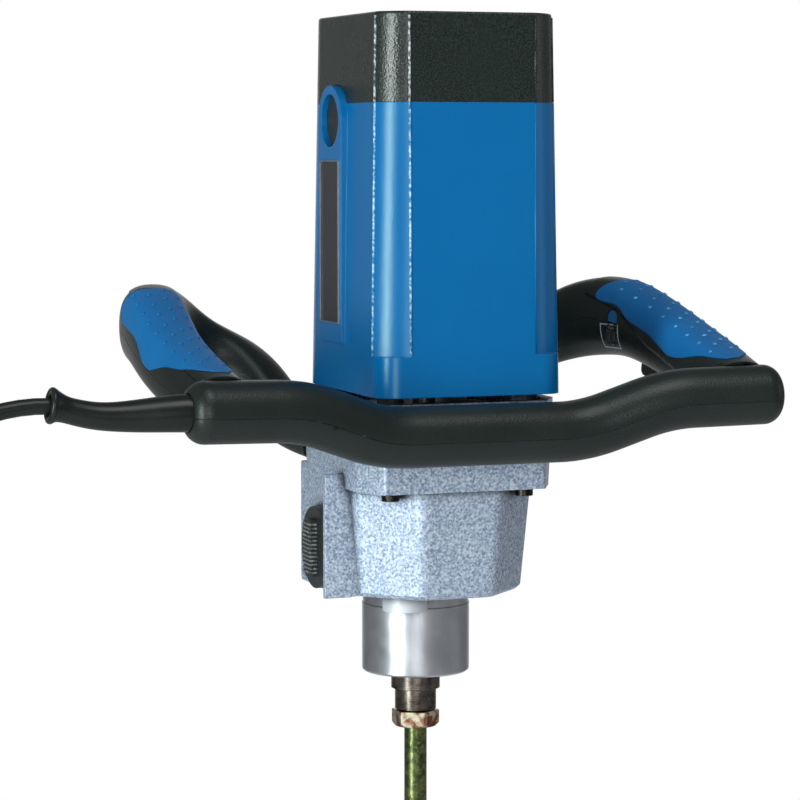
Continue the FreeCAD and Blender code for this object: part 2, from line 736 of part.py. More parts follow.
def brush_set():
    """Holders, brushes, springs and caps of both sides, one list each."""
    holders, brushes, springs, caps = [], [], [], []
    wide = slot_wide * 2
    for side in (-1, 1):
        def place(x):
            return V(side * x, motor_y, brush_z)
        tube_in = commutator_r + 1 + rib_thick * HALF_SHARE
        tube_out = tunnel_r + 1
        tube = rod(brush_hole_r - seat, place(tunnel_r - seat - case_wall * 2), place(tube_out))
        tube = tube.fuse(rod(wide + rib_thick, place(tube_in), place(tube_out)))
        slot = block(-tube_out - 1, tube_out + 1, motor_y - wide / 2 - play, motor_y + wide / 2 + play,
                     brush_z - wide - play, brush_z + wide + play)
        holders.append(clean(tube.cut(slot)))
        start = commutator_r + seat
        end = start + slot_deep + case_wall
        brushes.append(block(min(side * start, side * end), max(side * start, side * end), motor_y - wide / 2,
                             motor_y + wide / 2, brush_z - wide, brush_z + wide))
        helix = Part.makeHelix(rib_thick * HALF_SHARE, tube_out - end - rib_thick, wide / 2 - rib_thick / 4)
        helix.rotate(V(0, 0, 0), BACK, 90 * side)
        helix.translate(place(end + rib_thick * HALF_SHARE))
        wire_r = rib_thick / 6
        first = helix.Edges[0]
        mid = first.valueAt(first.FirstParameter)
        way = first.tangentAt(first.FirstParameter)
        ring = Part.Wire(Part.Circle(mid, way, wire_r).toShape())
        springs.append(Part.Wire(helix.Edges).makePipeShell([ring], True, False))
        cap = rod(brush_hole_r - play, place(tube_out + seat), place(tube_out + rib_thick))
        flute = block(-housing_half_w, housing_half_w, motor_y - brush_hole_r * HALF_SHARE,
                      motor_y + brush_hole_r * HALF_SHARE, brush_z - 1, brush_z + 1)
        keep = rod(brush_hole_r, place(0), place(tube_out + rib_thick - 1))
        caps.append(clean(cap.cut(flute.cut(keep))))
    return holders, brushes, springs, caps


def control_module():
    bay_y = -housing_front + housing_wall
    thick = bay_deep * HALF_SHARE
    board = block(-bay_half_w + seat, bay_half_w - seat, bay_y + seat, bay_y + thick, ledge_z, brush_z)
    points = [V(-bay_half_w + case_wall, bay_y + thick - 1, ledge_z + case_wall),
              V(bay_half_w - case_wall, bay_y + thick - 1, ledge_z + case_wall),
              V(bay_half_w - case_wall, bay_y + thick - 1, brush_z - case_wall),
              V(-bay_half_w + case_wall, bay_y + thick - 1, brush_z - case_wall)]
    lid = prism(rounded(points, [case_wall] * len(points)), BACK * (thick - play))
    return clean(board.fuse(lid))


def idler_shaft():
    low = case_floor_z - boss_drop + case_wall * HALF_SHARE + seat
    high = plate_z + plate_thick
    shaft = cyl(idler_shaft_r - seat, low, high, idler_x, idler_y)
    phase = gear_phases()["idler_pinion"]
    teeth = prism(gear_wire(idler_pinion_teeth, second_module, (idler_x, idler_y), phase,
                            case_floor_z + case_wall + 1), UP * (idler_gear_low_z - case_floor_z - case_wall - 2))
    return clean(shaft.fuse(teeth))


def idler_gear():
    phase = gear_phases()["idler_gear"]
    wheel = prism(gear_wire(idler_teeth, first_module, (idler_x, idler_y), phase, idler_gear_low_z),
                  UP * (idler_gear_high_z - idler_gear_low_z))
    return clean(wheel.cut(cyl(idler_shaft_r, idler_gear_low_z - 1, idler_gear_high_z + 1, idler_x, idler_y)))


def spindle_gear():
    phase = gear_phases()["spindle_gear"]
    wheel = prism(gear_wire(spindle_teeth, second_module, (0, 0), phase, spindle_gear_low_z),
                  UP * (spindle_gear_high_z - spindle_gear_low_z))
    wheel = wheel.cut(cyl(spindle_bore_r, spindle_gear_low_z - 1, spindle_gear_high_z + 1))
    dish = cyl(spindle_teeth * second_module / 2 - case_wall, spindle_gear_high_z - rib_thick, spindle_gear_high_z + 1)
    dish = dish.cut(cyl(spindle_bore_r + case_wall, 0, spindle_gear_high_z + 1))
    return clean(wheel.cut(dish))


def output_spindle():
    low_bearing = -neck_half + case_wall
    points = [(0, spindle_end_z), (spindle_r, spindle_end_z), (spindle_r, nose_z), (spindle_nose_r, nose_z),
              (spindle_nose_r, low_bearing), (spindle_bore_r, low_bearing), (spindle_bore_r, spindle_top_z),
              (0, spindle_top_z)]
    face = Part.Face(loop([V(r, 0, z) for r, z in points]))
    shaft = face.revolve(V(0, 0, 0), UP, 360)
    rim = [edge for edge in shaft.Edges
           if edge.BoundBox.ZMax < spindle_end_z + seat and edge.BoundBox.XLength > spindle_r]
    shaft = shaft.makeChamfer(1, rim)
    shaft = shaft.cut(cyl(stud_r + seat, spindle_end_z - 1, spindle_end_z + stud_long + 1))
    return clean(shaft)


def spindle_bearings():
    half = (spindle_gear_low_z - case_floor_z - case_wall) + 1
    low = -neck_half + case_wall + half
    high = case_floor_z - case_floor_thick - half
    return [bearing(neck_bore_r - seat, spindle_bore_r + seat, half, V(0, 0, z)) for z in (low, high)]


def shaft_seal():
    low = -neck_half
    ring = cyl(spindle_nose_r + case_wall - seat, low, low + case_wall - seat)
    return clean(ring.cut(cyl(spindle_nose_r + backlash * HALF_SHARE, low - 1, low + case_wall)))


def wire_path(points, share=arc_share):
    """Straight runs joined by tangent arcs, each as round as the shorter of its two runs lets it be."""
    edges = []
    here = points[0]
    for i in range(1, len(points) - 1):
        corner = points[i]
        cut = share * min((corner - points[i - 1]).Length, (points[i + 1] - corner).Length)
        start = corner + (points[i - 1] - corner).normalize() * cut
        end = corner + (points[i + 1] - corner).normalize() * cut
        edges.append(Part.LineSegment(here, start).toShape())
        edges.append(arc_by_corner(start, corner, end))
        here = end
    edges.append(Part.LineSegment(here, points[-1]).toShape())
    return Part.Wire(edges)


def tube_along(path, r):
    first = path.OrderedEdges[0]
    start = first.valueAt(first.FirstParameter)
    way = first.tangentAt(first.FirstParameter)
    ring = Part.Wire(Part.Circle(start, way, r).toShape())
    return path.makePipeShell([ring], True, False)


def mixing_paddle():
    """Hexagon and threaded stud on a round rod, with a welded cage of twisted round bar below."""
    hex_r = hex_flat / math.sqrt(3)
    top = spindle_end_z
    low = top - hex_high
    foot = low - rod_long
    turns = [math.radians(60 * i + hex_turn) for i in range(7)]
    corners = [V(hex_r * math.cos(turn), hex_r * math.sin(turn), low) for turn in turns]
    nut = prism(Part.makePolygon(corners), UP * hex_high)
    bevel = Part.makeCone(hex_flat / 2, hex_flat / 2 + hex_high, hex_high, V(0, 0, low), UP)
    paddle = nut.common(bevel)
    paddle = paddle.fuse(cyl(stud_r, low + 1, top + stud_long))
    paddle = paddle.fuse(cyl(rod_r, foot, low + 1))
    paddle = paddle.fuse(Part.makeTorus(cage_r, cage_wire_r, V(0, 0, foot + cage_wire_r), UP))
    for i in range(cage_ribs):
        turn = 2 * math.pi * i / cage_ribs
        points = []
        for reach, rise, twist in cage_rib_shares:
            angle = turn + cage_twist * twist
            points.append(V(cage_r * reach * math.cos(angle), cage_r * reach * math.sin(angle),
                            foot + cage_wire_r + cage_high * rise))
        curve = Part.BSplineCurve()
        curve.interpolate(points)
        paddle = paddle.fuse(tube_along(Part.Wire(curve.toShape()), cage_wire_r))
        spoke = V(cage_r * math.cos(turn), cage_r * math.sin(turn), foot + cage_wire_r)
        paddle = paddle.fuse(rod(cage_wire_r * HALF_SHARE + 1, V(0, 0, foot + cage_wire_r), spoke))
    return clean(paddle)


def selector_knob():
    face_x = -body_half_w - pad_out - play
    middle = V(face_x, knob_y, knob_z)
    out = SIDE * -1
    knob = Part.makeCylinder(knob_r, knob_base, middle, out)
    grip_points = [V(face_x, knob_y - knob_grip_half, knob_z - knob_grip_long),
                   V(face_x, knob_y + knob_grip_half, knob_z - knob_grip_long),
                   V(face_x, knob_y + knob_grip_half, knob_z + knob_grip_long),
                   V(face_x, knob_y - knob_grip_half, knob_z + knob_grip_long)]
    grip = prism(rounded(grip_points, [knob_grip_half - 1] * len(grip_points)), out * (knob_base + knob_grip_out))
    knob = knob.fuse(grip)
    for i in range(knob_rib_count):
        z = knob_z + (i - (knob_rib_count - 1) / 2) * rib_thick
        for side in (-1, 1):
            y = knob_y + side * knob_grip_half
            knob = knob.cut(block(face_x - knob_base - knob_grip_out - 1, face_x - knob_base, y - 1 * HALF_SHARE,
                                  y + 1 * HALF_SHARE, z - rib_thick / 4, z + rib_thick / 4))
    knob = knob.fuse(rod(knob_shaft_r - backlash * HALF_SHARE, middle,
                         V(-body_half_w + case_wall * 2, knob_y, knob_z)))
    return clean(knob)


def bar_solid(r):
    return tube_along(wire_path(bar_path, bar_arc_share), r)


def parting_block(way, lift):
    """Everything below (way -1) or above (way 1) the joint line of the front bar."""
    line = wire_path(bar_path, bar_arc_share).discretize(Number=bar_samples)
    y = bar_out_y - bar_r * 2
    joint = [V(p.x, y, p.z - parting_drop + lift) for p in line]
    joint = [joint[0] - SIDE * bar_r] + joint + [joint[-1] + SIDE * bar_r]
    curve = Part.BSplineCurve()
    curve.interpolate(joint)
    far_z = bar_z + way * bar_r * 4
    corners = [joint[-1], V(joint[-1].x, y, far_z), V(joint[0].x, y, far_z), joint[0]]
    sides = [Part.LineSegment(a, b).toShape() for a, b in zip(corners, corners[1:])]
    return prism(Part.Wire([curve.toShape()] + sides), BACK * (bar_r * 6))


def front_bar():
    outer = bar_solid(bar_r)
    rim = [edge for face in outer.Faces if isinstance(face.Surface, Part.Plane) for edge in face.Edges]
    outer = outer.makeFillet(bar_end_round, rim)
    first = bar_path[0] + (bar_path[1] - bar_path[0]).normalize() * bar_end_round
    last = bar_path[-1] + (bar_path[-2] - bar_path[-1]).normalize() * bar_end_round
    hollow_path = wire_path([first] + bar_path[1:-1] + [last], bar_arc_share)
    shell = outer.cut(tube_along(hollow_path, bar_r - bar_wall))
    for side in (-1, 1):
        shell = shell.cut(rod(screw_r + play, V(side * bar_bolt_x, bar_y, bar_z + screw_r),
                              V(side * bar_bolt_x, bar_y + bar_r * 2, bar_z + screw_r)))
    sleeve_hole = rod(sleeve_root_r + seat, sleeve_start() - SIDE * bar_r, sleeve_start() + SIDE * bar_r)
    shell = shell.cut(sleeve_hole)
    return clean(shell.cut(parting_block(-1, 0))), clean(shell.cut(parting_block(1, -parting_gap)))


def bar_fixings():
    """Two bolts from inside the fan chamber and the nut plate that they pull against inside the bar."""
    bolts = []
    z = bar_z + screw_r
    for side in (-1, 1):
        x = side * bar_bolt_x
        wall = -lip_front + case_wall
        bolt = rod(screw_r, V(x, bar_y + screw_r, z), V(x, wall, z))
        bolts.append(clean(bolt.fuse(rod(screw_head_r, V(x, wall, z), V(x, wall + screw_head, z)))))
    wide = bar_bolt_x + lug_r
    inner = bar_y + (bar_r - bar_wall) * math.sqrt(1 - (lug_r / (bar_r - bar_wall)) ** 2) - play
    plate = block(-wide, wide, inner - case_wall, inner, bar_z - screw_r, bar_z + lug_r)
    for bolt in bolts:
        plate = plate.cut(bolt)
    return bolts, clean(plate)


def grip_stations(grow_w, grow_h, first=0, last=None):
    """Places, directions and half sizes of the handle's sections: back from the bar, then in to the gear case."""
    foot_y = lip_rear - lip_rear_run / 2
    turn_y = bar_out_y + grip_run * grip_path_shares[grip_turn][1]
    found = []
    for i, (x_share, y_share, z_share, w_share, h_share) in list(enumerate(grip_path_shares))[first:last]:
        y = bar_out_y + grip_run * y_share if i <= grip_turn else foot_y + (turn_y - foot_y) * y_share
        place = V(grip_span * x_share, y, bar_out_z + grip_rise * z_share)
        found.append([place, grip_half_w * w_share + grow_w, grip_half_h * h_share + grow_h])
    if last is None:
        out = V(lip_rear_run, lip_half_w - lip_rear_flat, 0).normalize()
        mid = V((lip_half_w + lip_flare * HALF_SHARE + lip_rear_flat) / 2, lip_rear - lip_rear_run / 2, foot_z)
        found.append([mid + out * (1 + play), grip_half_w * foot_share + grow_w, grip_half_h * foot_share + grow_h])
    return framed(found, out * -1 if last is None else None)


def framed(found, end_way):
    """Adds the directions along, across and up to each section; the last one may be told its way."""
    for i, entry in enumerate(found):
        ahead = found[min(i + 1, len(found) - 1)][0]
        behind = found[max(i - 1, 0)][0]
        way = (ahead - behind).normalize()
        if end_way and i == len(found) - 1:
            way = end_way
        across = way.cross(UP).normalize()
        entry += [way, across, across.cross(way)]
    return found


def skin_solid(stations, corner_weight):
    """Skin through sections whose control points follow smooth lines; the weight fills the sections' corners."""
    marks = [0]
    for i in range(1, len(stations)):
        marks.append(marks[-1] + (stations[i][0] - stations[i - 1][0]).Length)
    lines = []
    for x_share, y_share in ((1, 0), (1, 1), (0, 1), (-1, 1), (-1, 0), (-1, -1), (0, -1), (1, -1), (1, 0)):
        curve = Part.BSplineCurve()
        curve.interpolate([place + across * (half_w * x_share) + rise * (half_h * y_share)
                           for place, half_w, half_h, way, across, rise in stations], Parameters=marks)
        lines.append(curve)
    weights = [[corner_weight if i % 2 else 1] * lines[0].NbPoles for i in range(len(lines))]
    skin = Part.BSplineSurface()
    skin.buildFromPolesMultsKnots([line.getPoles() for line in lines], [3, 2, 2, 2, 3], lines[0].getMultiplicities(),
                                  [0, 1, 2, 3, 4], lines[0].getKnots(), False, False, 2, lines[0].Degree, weights)
    face = skin.toShape()
    ends = [Part.Face(Part.Wire(edge)) for edge in face.Edges if edge.isClosed()]
    shell = Part.makeCompound([face] + ends)
    shell.sewShape()
    return Part.makeSolid(shell.Shells[0])


def grip_solid(grow, first=0, last=None):
    return skin_solid(grip_stations(grow, grow, first, last), corner_weight_share)


def grip_region(low_shares, high_share, inner_share, outer_share, grow=0):
    """Block that follows the handle from the bar and takes a share of its height and width at each section."""
    last = None if len(low_shares) > len(grip_path_shares) else len(low_shares)
    rings = []
    for low_share, station in zip(low_shares, grip_stations(0, 0, 0, last)):
        place, half_w, half_h, way, across, rise = station
        low = rise * (half_h * low_share - grow)
        high = rise * (half_h * high_share)
        inner = across * -(half_w * inner_share + grow)
        outer = across * (half_w * outer_share + grow)
        rings.append(loop([place + inner + low, place + outer + low, place + outer + high, place + inner + high]))
    return Part.makeLoft(rings, True, True)


def checked_cut(shape, tool):
    """Cut in a thin curved skin: one that leaves some of the tool filled is made again with a little more slack."""
    for slack in cut_slacks:
        left = shape.cut((tool,), slack)
        if left.isValid() and left.common(tool).Volume < backlash:
            break
    return left


def side_handle(side):
    """Upper shell, lower shell and soft pad of one closed handle; the left one mirrors the right, without controls."""
    outer = grip_solid(0)
    shell = outer.cut(grip_solid(-grip_shell, 0, len(grip_path_shares) - 1))
    shell = shell.cut(bar_solid(bar_r + seat))
    inner = grip_solid(-pad_depth)
    proud = grip_solid(pad_proud)
    pad = proud.common(grip_region(pad_low_shares, 2, pad_inner_share, pad_outer_share))
    pad = pad.cut(grip_solid(backlash - pad_depth))
    pad = pad.cut(bar_solid(bar_r + play))
    pocket = grip_region(pad_low_shares, 2, pad_inner_share, pad_outer_share, backlash)
    shell = shell.cut(pocket.cut(inner))
    out = V(lip_rear_run, lip_half_w - lip_rear_flat, 0).normalize()
    mid = V((lip_half_w + lip_rear_flat) / 2, lip_rear - lip_rear_run / 2, foot_z)
    shell = shell.cut(rod(screw_r + play, mid - out, mid + out * (lug_r * 6)))
    shell = shell.cut(rod(screw_head_r + play, mid + out * (lug_r * 2), mid + out * (lug_r * 8)))
    sections = len(grip_path_shares) + 1
    upper = shell.cut(grip_region([-3] * sections, backlash / grip_half_h, 3, 3))
    lower = shell.cut(grip_region([0] * sections, 3, 3, 3))
    made = [upper, lower, largest(pad)]
    if side > 0:
        for hole in [trigger_slot()] + control_holes():
            made[:2] = [checked_cut(half, hole) for half in made[:2]]
    else:
        made = [piece.mirror(V(0, 0, 0), SIDE) for piece in made]
    return [clean(piece) for piece in made]


def arm_bolts():
    made = []
    for side in (-1, 1):
        out = V(side * lip_rear_run, lip_half_w - lip_rear_flat, 0).normalize()
        mid = V(side * (lip_half_w + lip_rear_flat) / 2, lip_rear - lip_rear_run / 2, foot_z)
        bolt = rod(screw_r - seat, mid - out * lug_r, mid + out * (lug_r * 2))
        made.append(clean(bolt.fuse(rod(screw_head_r, mid + out * (lug_r * 2),
                                        mid + out * (lug_r * 2 + screw_head)))))
    return made


def trigger_frame():
    place, half_w, half_h, way, across, rise = grip_stations(0, 0)[2]
    return place, half_h, way, across, rise


def local_block(place, way, across, rise, half_long, half_wide, low, high, turn):
    """Rounded bar in a handle's own directions: along it, across it and up from its middle."""
    corners = [place - way * half_long - across * half_wide + rise * low,
               place + way * half_long - across * half_wide + rise * low,
               place + way * half_long - across * half_wide + rise * high,
               place - way * half_long - across * half_wide + rise * high]
    return prism(rounded(corners, [turn] * len(corners)), across * (half_wide * 2))


def trigger_slot():
    place, half_h, way, across, rise = trigger_frame()
    return local_block(place, way, across, rise, trigger_half + play, trigger_half_w + play,
                       -half_h - trigger_out, -half_h + trigger_deep * HALF_SHARE + grip_shell, 1)


def trigger():
    place, half_h, way, across, rise = trigger_frame()
    lever = local_block(place, way, across, rise, trigger_half, trigger_half_w,
                        -half_h - trigger_out, -half_h + trigger_deep * HALF_SHARE, trigger_out * HALF_SHARE)
    finger = rod(grip_half_w, place - across * grip_half_w + rise * (-half_h - trigger_out - grip_half_w + 2),
                 place + across * grip_half_w + rise * (-half_h - trigger_out - grip_half_w + 2))
    return clean(lever.cut(finger))


def switch_body(grow):
    """Switch case that fills the handle's hollow above the trigger, so both shells hold it."""
    place, half_h, way, across, rise = trigger_frame()
    half_w = grip_stations(0, 0)[2][1] - grip_shell
    low = -half_h + trigger_deep * HALF_SHARE + trigger_travel + play
    return local_block(place, way, across, rise, trigger_half - 1 + grow, half_w + grow, low - grow,
                       low + trigger_deep + grow, 1)


def control_frame():
    """Where the thumb controls sit: the inner front of the right handle past the top of its grip."""
    near, far = grip_stations(0, 0)[3:5]
    near_share = 1 - control_share
    place = near[0] * near_share + far[0] * control_share
    half_w = near[1] * near_share + far[1] * control_share
    way = (near[3] * near_share + far[3] * control_share).normalize()
    across = way.cross(UP).normalize()
    return place, half_w, way, across, across.cross(way)


def control_holes():
    place, half_w, way, across, rise = control_frame()
    out = across * -1
    button = d_shape(place + rise * control_up, way, rise, play)
    button = prism(button, out * (half_w * 2))
    middle = dial_middle()[0]
    deep = dial_half + play + seat
    pocket = Part.makeCylinder(dial_r + play, deep * 2, middle - rise * deep, rise)
    high = deep + rib_thick * HALF_SHARE + play
    chamber = local_block(middle - across * (dial_half * HALF_SHARE), way, across, rise, dial_half + play,
                          dial_half * 2 + play, -high, high, 1)
    return [button, pocket, chamber, switch_body(seat)]


def dial_cheeks():
    """Two plates that carry the dial's pin and stand in a chamber of the handle's wall."""
    place, half_w, way, across, rise = control_frame()
    middle = dial_middle()[0] - across * (dial_half * HALF_SHARE)
    low = dial_half + play
    return [local_block(middle, way, across, rise * turn, dial_half, dial_half * 2, low,
                        low + rib_thick * HALF_SHARE, HALF_SHARE) for turn in (-1, 1)]


def d_shape(place, way, rise, grow):
    wide = control_wide + grow
    low = place - rise * (control_high + grow)
    right = low + way * wide
    left = low - way * wide
    top_right = right + rise * control_high
    top_left = left + rise * control_high
    crown = low + rise * (control_high * 2 + grow * 2)
    return Part.Wire([Part.LineSegment(left, right).toShape(), Part.LineSegment(right, top_right).toShape(),
                      Part.Arc(top_right, crown, top_left).toShape(), Part.LineSegment(top_left, left).toShape()])


def lock_button():
    place, half_w, way, across, rise = control_frame()
    out = across * -1
    start = place + rise * control_up + out * (half_w - control_deep)
    return prism(d_shape(start, way, rise, 0), out * (control_deep - dial_out))


def dial_middle():
    place, half_w, way, across, rise = control_frame()
    return place + rise * dial_up - across * (half_w - dial_r + dial_out), rise


def speed_dial():
    middle, rise = dial_middle()
    place, half_w, way, across, lift = control_frame()
    wheel = Part.makeCylinder(dial_r, dial_half * 2, middle - rise * dial_half, rise)
    for i in range(dial_teeth):
        angle = 2 * math.pi * i / dial_teeth
        spot = middle + (way * math.cos(angle) + across * math.sin(angle)) * dial_r
        wheel = wheel.cut(Part.makeCylinder(dial_out * HALF_SHARE, dial_half * 4, spot - rise * (dial_half * 2), rise))
    return clean(wheel.cut(Part.makeCylinder(dial_half * HALF_SHARE, dial_half * 4, middle - rise * (dial_half * 2), rise)))


def dial_pin():
    middle, rise = dial_middle()
    pin = Part.makeCylinder(dial_half * HALF_SHARE - seat, dial_half * 2 + rib_thick,
                            middle - rise * (dial_half + rib_thick * HALF_SHARE), rise)
    for cheek in dial_cheeks():
        pin = pin.fuse(cheek)
    return clean(pin)


def sleeve_start():
    return V(-bar_half, bar_out_y, bar_out_z)


def sleeve_way():
    return V(-1, 0, sleeve_end_slope_share).normalize()


def sleeve_stations():
    found = []
    for along_share, lift_share, r_share in sleeve_shares:
        place = sleeve_start() + V(-sleeve_long * along_share, 0, sleeve_lift * lift_share)
        found.append([place, sleeve_root_r * r_share, sleeve_root_r * r_share])
    return framed(found, sleeve_way())


def cord_sleeve():
    """Curved rubber sleeve, plugged into the end of the bar, with a bell mouth that the cord leaves."""
    stations = sleeve_stations()
    sleeve = skin_solid(stations, math.sqrt(HALF_SHARE))
    sleeve = sleeve.fuse(rod(sleeve_root_r - play, sleeve_start() - SIDE, sleeve_start() + SIDE * (bar_end_round - seat)))
    mouth, mouth_r = stations[-1][:2]
    inner = cord_r + play
    flare = (mouth_r - 1 - inner) / bell_deep
    recess = Part.makeCone(inner, inner + flare * (bell_deep + 1), bell_deep + 1, mouth - sleeve_way() * bell_deep,
                           sleeve_way())
    return clean(sleeve.cut(recess))


def lead_points():
    start = sleeve_stations()[-1][0] - sleeve_way() * bell_deep
    points = [start, start + sleeve_way() * lead_first]
    return points + [start - V(lead_span * x_share, 0, lead_span * z_share) for x_share, z_share in lead_shares]


def coil_state(turn):
    """Radius and layer place after so many turns: spiral in, climb half a turn, spiral out, and again."""
    span = coil_turns + HALF_SHARE
    layer = min(int(turn / span), coil_layers - 1)
    along = turn - layer * span
    wide = coil_pitch * coil_turns
    inward = layer % 2 == 0
    spiral = min(along, coil_turns) * coil_pitch
    r = coil_inner_r + (wide - spiral if inward else spiral)
    climb = max(0, along - coil_turns) / HALF_SHARE
    return r, coil_layer * (layer + (1 - math.cos(math.pi * climb)) / 2)


def coil_point(turn, middle):
    r, y = coil_state(turn)
    angle = 2 * math.pi * turn
    return middle + V(r * math.cos(angle), y, -r * math.sin(angle))


def coil_path():
    """Quarter turns joined by pairs of tangent arcs, straight for one diameter at both ends."""
    start = lead_points()[-1]
    r = coil_state(0)[0]
    middle = start + V(-r, 0, -cord_r * 2)
    total = coil_layers * coil_turns + (coil_layers - 1) * HALF_SHARE
    steps = int(round(total * 4))
    fine = total / steps / 50
    marks = []
    for i in range(steps + 1):
        turn = total * i / steps
        here = coil_point(turn, middle)
        way = (coil_point(min(turn + fine, total), middle) - coil_point(max(turn - fine, 0), middle)).normalize()
        if i == 0:
            way = UP * -1
        marks.append((here, way))
    edges = [Part.LineSegment(start, marks[0][0]).toShape()]
    for (p, a), (q, b) in zip(marks, marks[1:]):
        run = q - p
        both = a + b
        spread = 2 * (1 - a.dot(b))
        reach = run.dot(both)
        d = (math.sqrt(reach * reach + spread * run.dot(run)) - reach) / spread
        joint = (p + a * d + q - b * d) * HALF_SHARE
        edges.append(arc_by_corner(p, p + a * d, joint))
        edges.append(arc_by_corner(joint, q - b * d, q))
    end, way = marks[-1]
    tail = end + way * coil_tail
    edges.append(Part.LineSegment(end, tail).toShape())
    return Part.Wire(edges), middle, tail, way


def cord_tie(middle):
    """Flat strap round the whole bundle of turns on its far side."""
    low_r = coil_inner_r - cord_r - tie_clear
    high_r = coil_inner_r + coil_pitch * coil_turns + cord_r + tie_clear
    near = -cord_r - tie_clear
    far = coil_layer * (coil_layers - 1) + cord_r + tie_clear

    def ring(grow):
        z = -tie_wide / 2
        points = [middle + V(-low_r + grow, near - grow, z), middle + V(-high_r - grow, near - grow, z),
                  middle + V(-high_r - grow, far + grow, z), middle + V(-low_r + grow, far + grow, z)]
        return prism(rounded(points, [cord_r + grow * HALF_SHARE] * len(points)), UP * tie_wide)
    return clean(ring(tie_thick).cut(ring(0)))


def plug(start, way):
    """Moulded rubber plug: tapered neck, grip body and two pins, drawn along the end of the cord."""
    neck = plug_neck_long
    outline = [(0, 0), (cord_r + 1, 0), (plug_neck_r, neck), (plug_r * HALF_SHARE, neck), (plug_r, neck + plug_long / 3),
               (plug_r, neck + plug_long), (0, neck + plug_long)]
    face = Part.Face(loop([V(r, 0, z) for r, z in outline]))
    body = face.revolve(V(0, 0, 0), UP, 360)
    for side in (-1, 1):
        body = body.cut(block(-plug_r, plug_r, side * plug_r - case_wall, side * plug_r + case_wall,
                              neck + plug_long / 2, neck + plug_long + 1))
        body = body.fuse(cyl(pin_r, neck + plug_long - 1, neck + plug_long + pin_long, side * pin_half_pitch, 0))
    body = clean(body)
    body.Placement = FreeCAD.Placement(start, FreeCAD.Rotation(UP, way))
    return body


os.makedirs("parts", exist_ok=True)
put(gear_case(), "gear_case")
put(neck_collar(), "neck_collar")
put(bearing_plate(), "bearing_plate")
put(Part.makeCompound(plate_screws()), "plate_screws")
put(motor_housing(), "motor_housing")
put(badge_plate(), "badge_plate")
put(end_cap(), "end_cap")
put(Part.makeCompound(screws(lug_places, cap_top_z - screw_head - 1, cap_joint_z - lug_r * 2)), "end_cap_screws")
put(Part.makeCompound(screws(lug_places, lip_z - seat, base_z + lug_r * 2)), "casing_screws")
put(stator_core(), "stator_core")
put(Part.makeCompound(field_coils()), "field_coils")
put(armature_shaft(), "armature_shaft")
put(armature_core(), "armature_core")
put(Part.makeCompound(armature_windings()), "armature_windings")
put(commutator(), "commutator")
put(cooling_fan(), "cooling_fan")
put(air_guide(), "air_guide")
for found, name in zip(brush_set(), ("brush_holders", "carbon_brushes", "brush_springs", "brush_caps")):
    put(Part.makeCompound(found), name)
put(control_module(), "control_module")
top_seat = cap_top_z - cap_wall - top_bearing_r * 2 + small_bearing_half
put(bearing(top_bearing_r, shaft_r, small_bearing_half - seat, V(0, motor_y, top_seat)), "upper_motor_bearing")
low_seat = plate_z + plate_thick + small_bearing_half
put(bearing(small_bearing_r, shaft_r, small_bearing_half - seat, V(0, motor_y, low_seat)), "lower_motor_bearing")
idler_half = (case_wall + seat) / 2
idler_seats = [case_floor_z - boss_drop + case_wall * HALF_SHARE + idler_half + seat,
               plate_z + plate_thick - idler_half - seat]
put(Part.makeCompound([bearing(boss_r - seat, idler_shaft_r, idler_half, V(idler_x, idler_y, z))
                       for z in idler_seats]), "idler_bearings")
put(idler_shaft(), "idler_shaft")
put(idler_gear(), "idler_gear")
put(output_spindle(), "output_spindle")
put(spindle_gear(), "spindle_gear")
put(Part.makeCompound(spindle_bearings()), "spindle_bearings")
put(shaft_seal(), "shaft_seal")
put(mixing_paddle(), "mixing_paddle")
put(selector_knob(), "selector_knob")
bar_upper, bar_lower = front_bar()
put(bar_upper, "front_bar_upper")
put(bar_lower, "front_bar_lower")
bolts, nut_plate = bar_fixings()
put(Part.makeCompound(bolts), "bar_bolts")
put(nut_plate, "bar_nut_plate")
for side, name in ((-1, "left"), (1, "right")):
    upper, lower, pad = side_handle(side)
    put(upper, name + "_handle_upper")
    put(lower, name + "_handle_lower")
    put(pad, name + "_grip_pad")
put(Part.makeCompound(arm_bolts()), "arm_bolts")
put(trigger(), "trigger")
put(switch_body(0), "switch_block")
put(lock_button(), "lock_button")
put(speed_dial(), "speed_dial")
put(dial_pin(), "dial_pin")
put(cord_sleeve(), "cord_sleeve")
put(tube_along(wire_path(lead_points()), cord_r), "cord_lead")
coil_wire, coil_middle, coil_end, coil_way = coil_path()
put(tube_along(coil_wire, cord_r), "cord_coil")
put(cord_tie(coil_middle), "cord_tie")
put(plug(coil_end, coil_way), "plug")
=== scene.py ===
import math

import bmesh
import bpy
from mathutils import Matrix, Vector
from mathutils.bvhtree import BVHTree


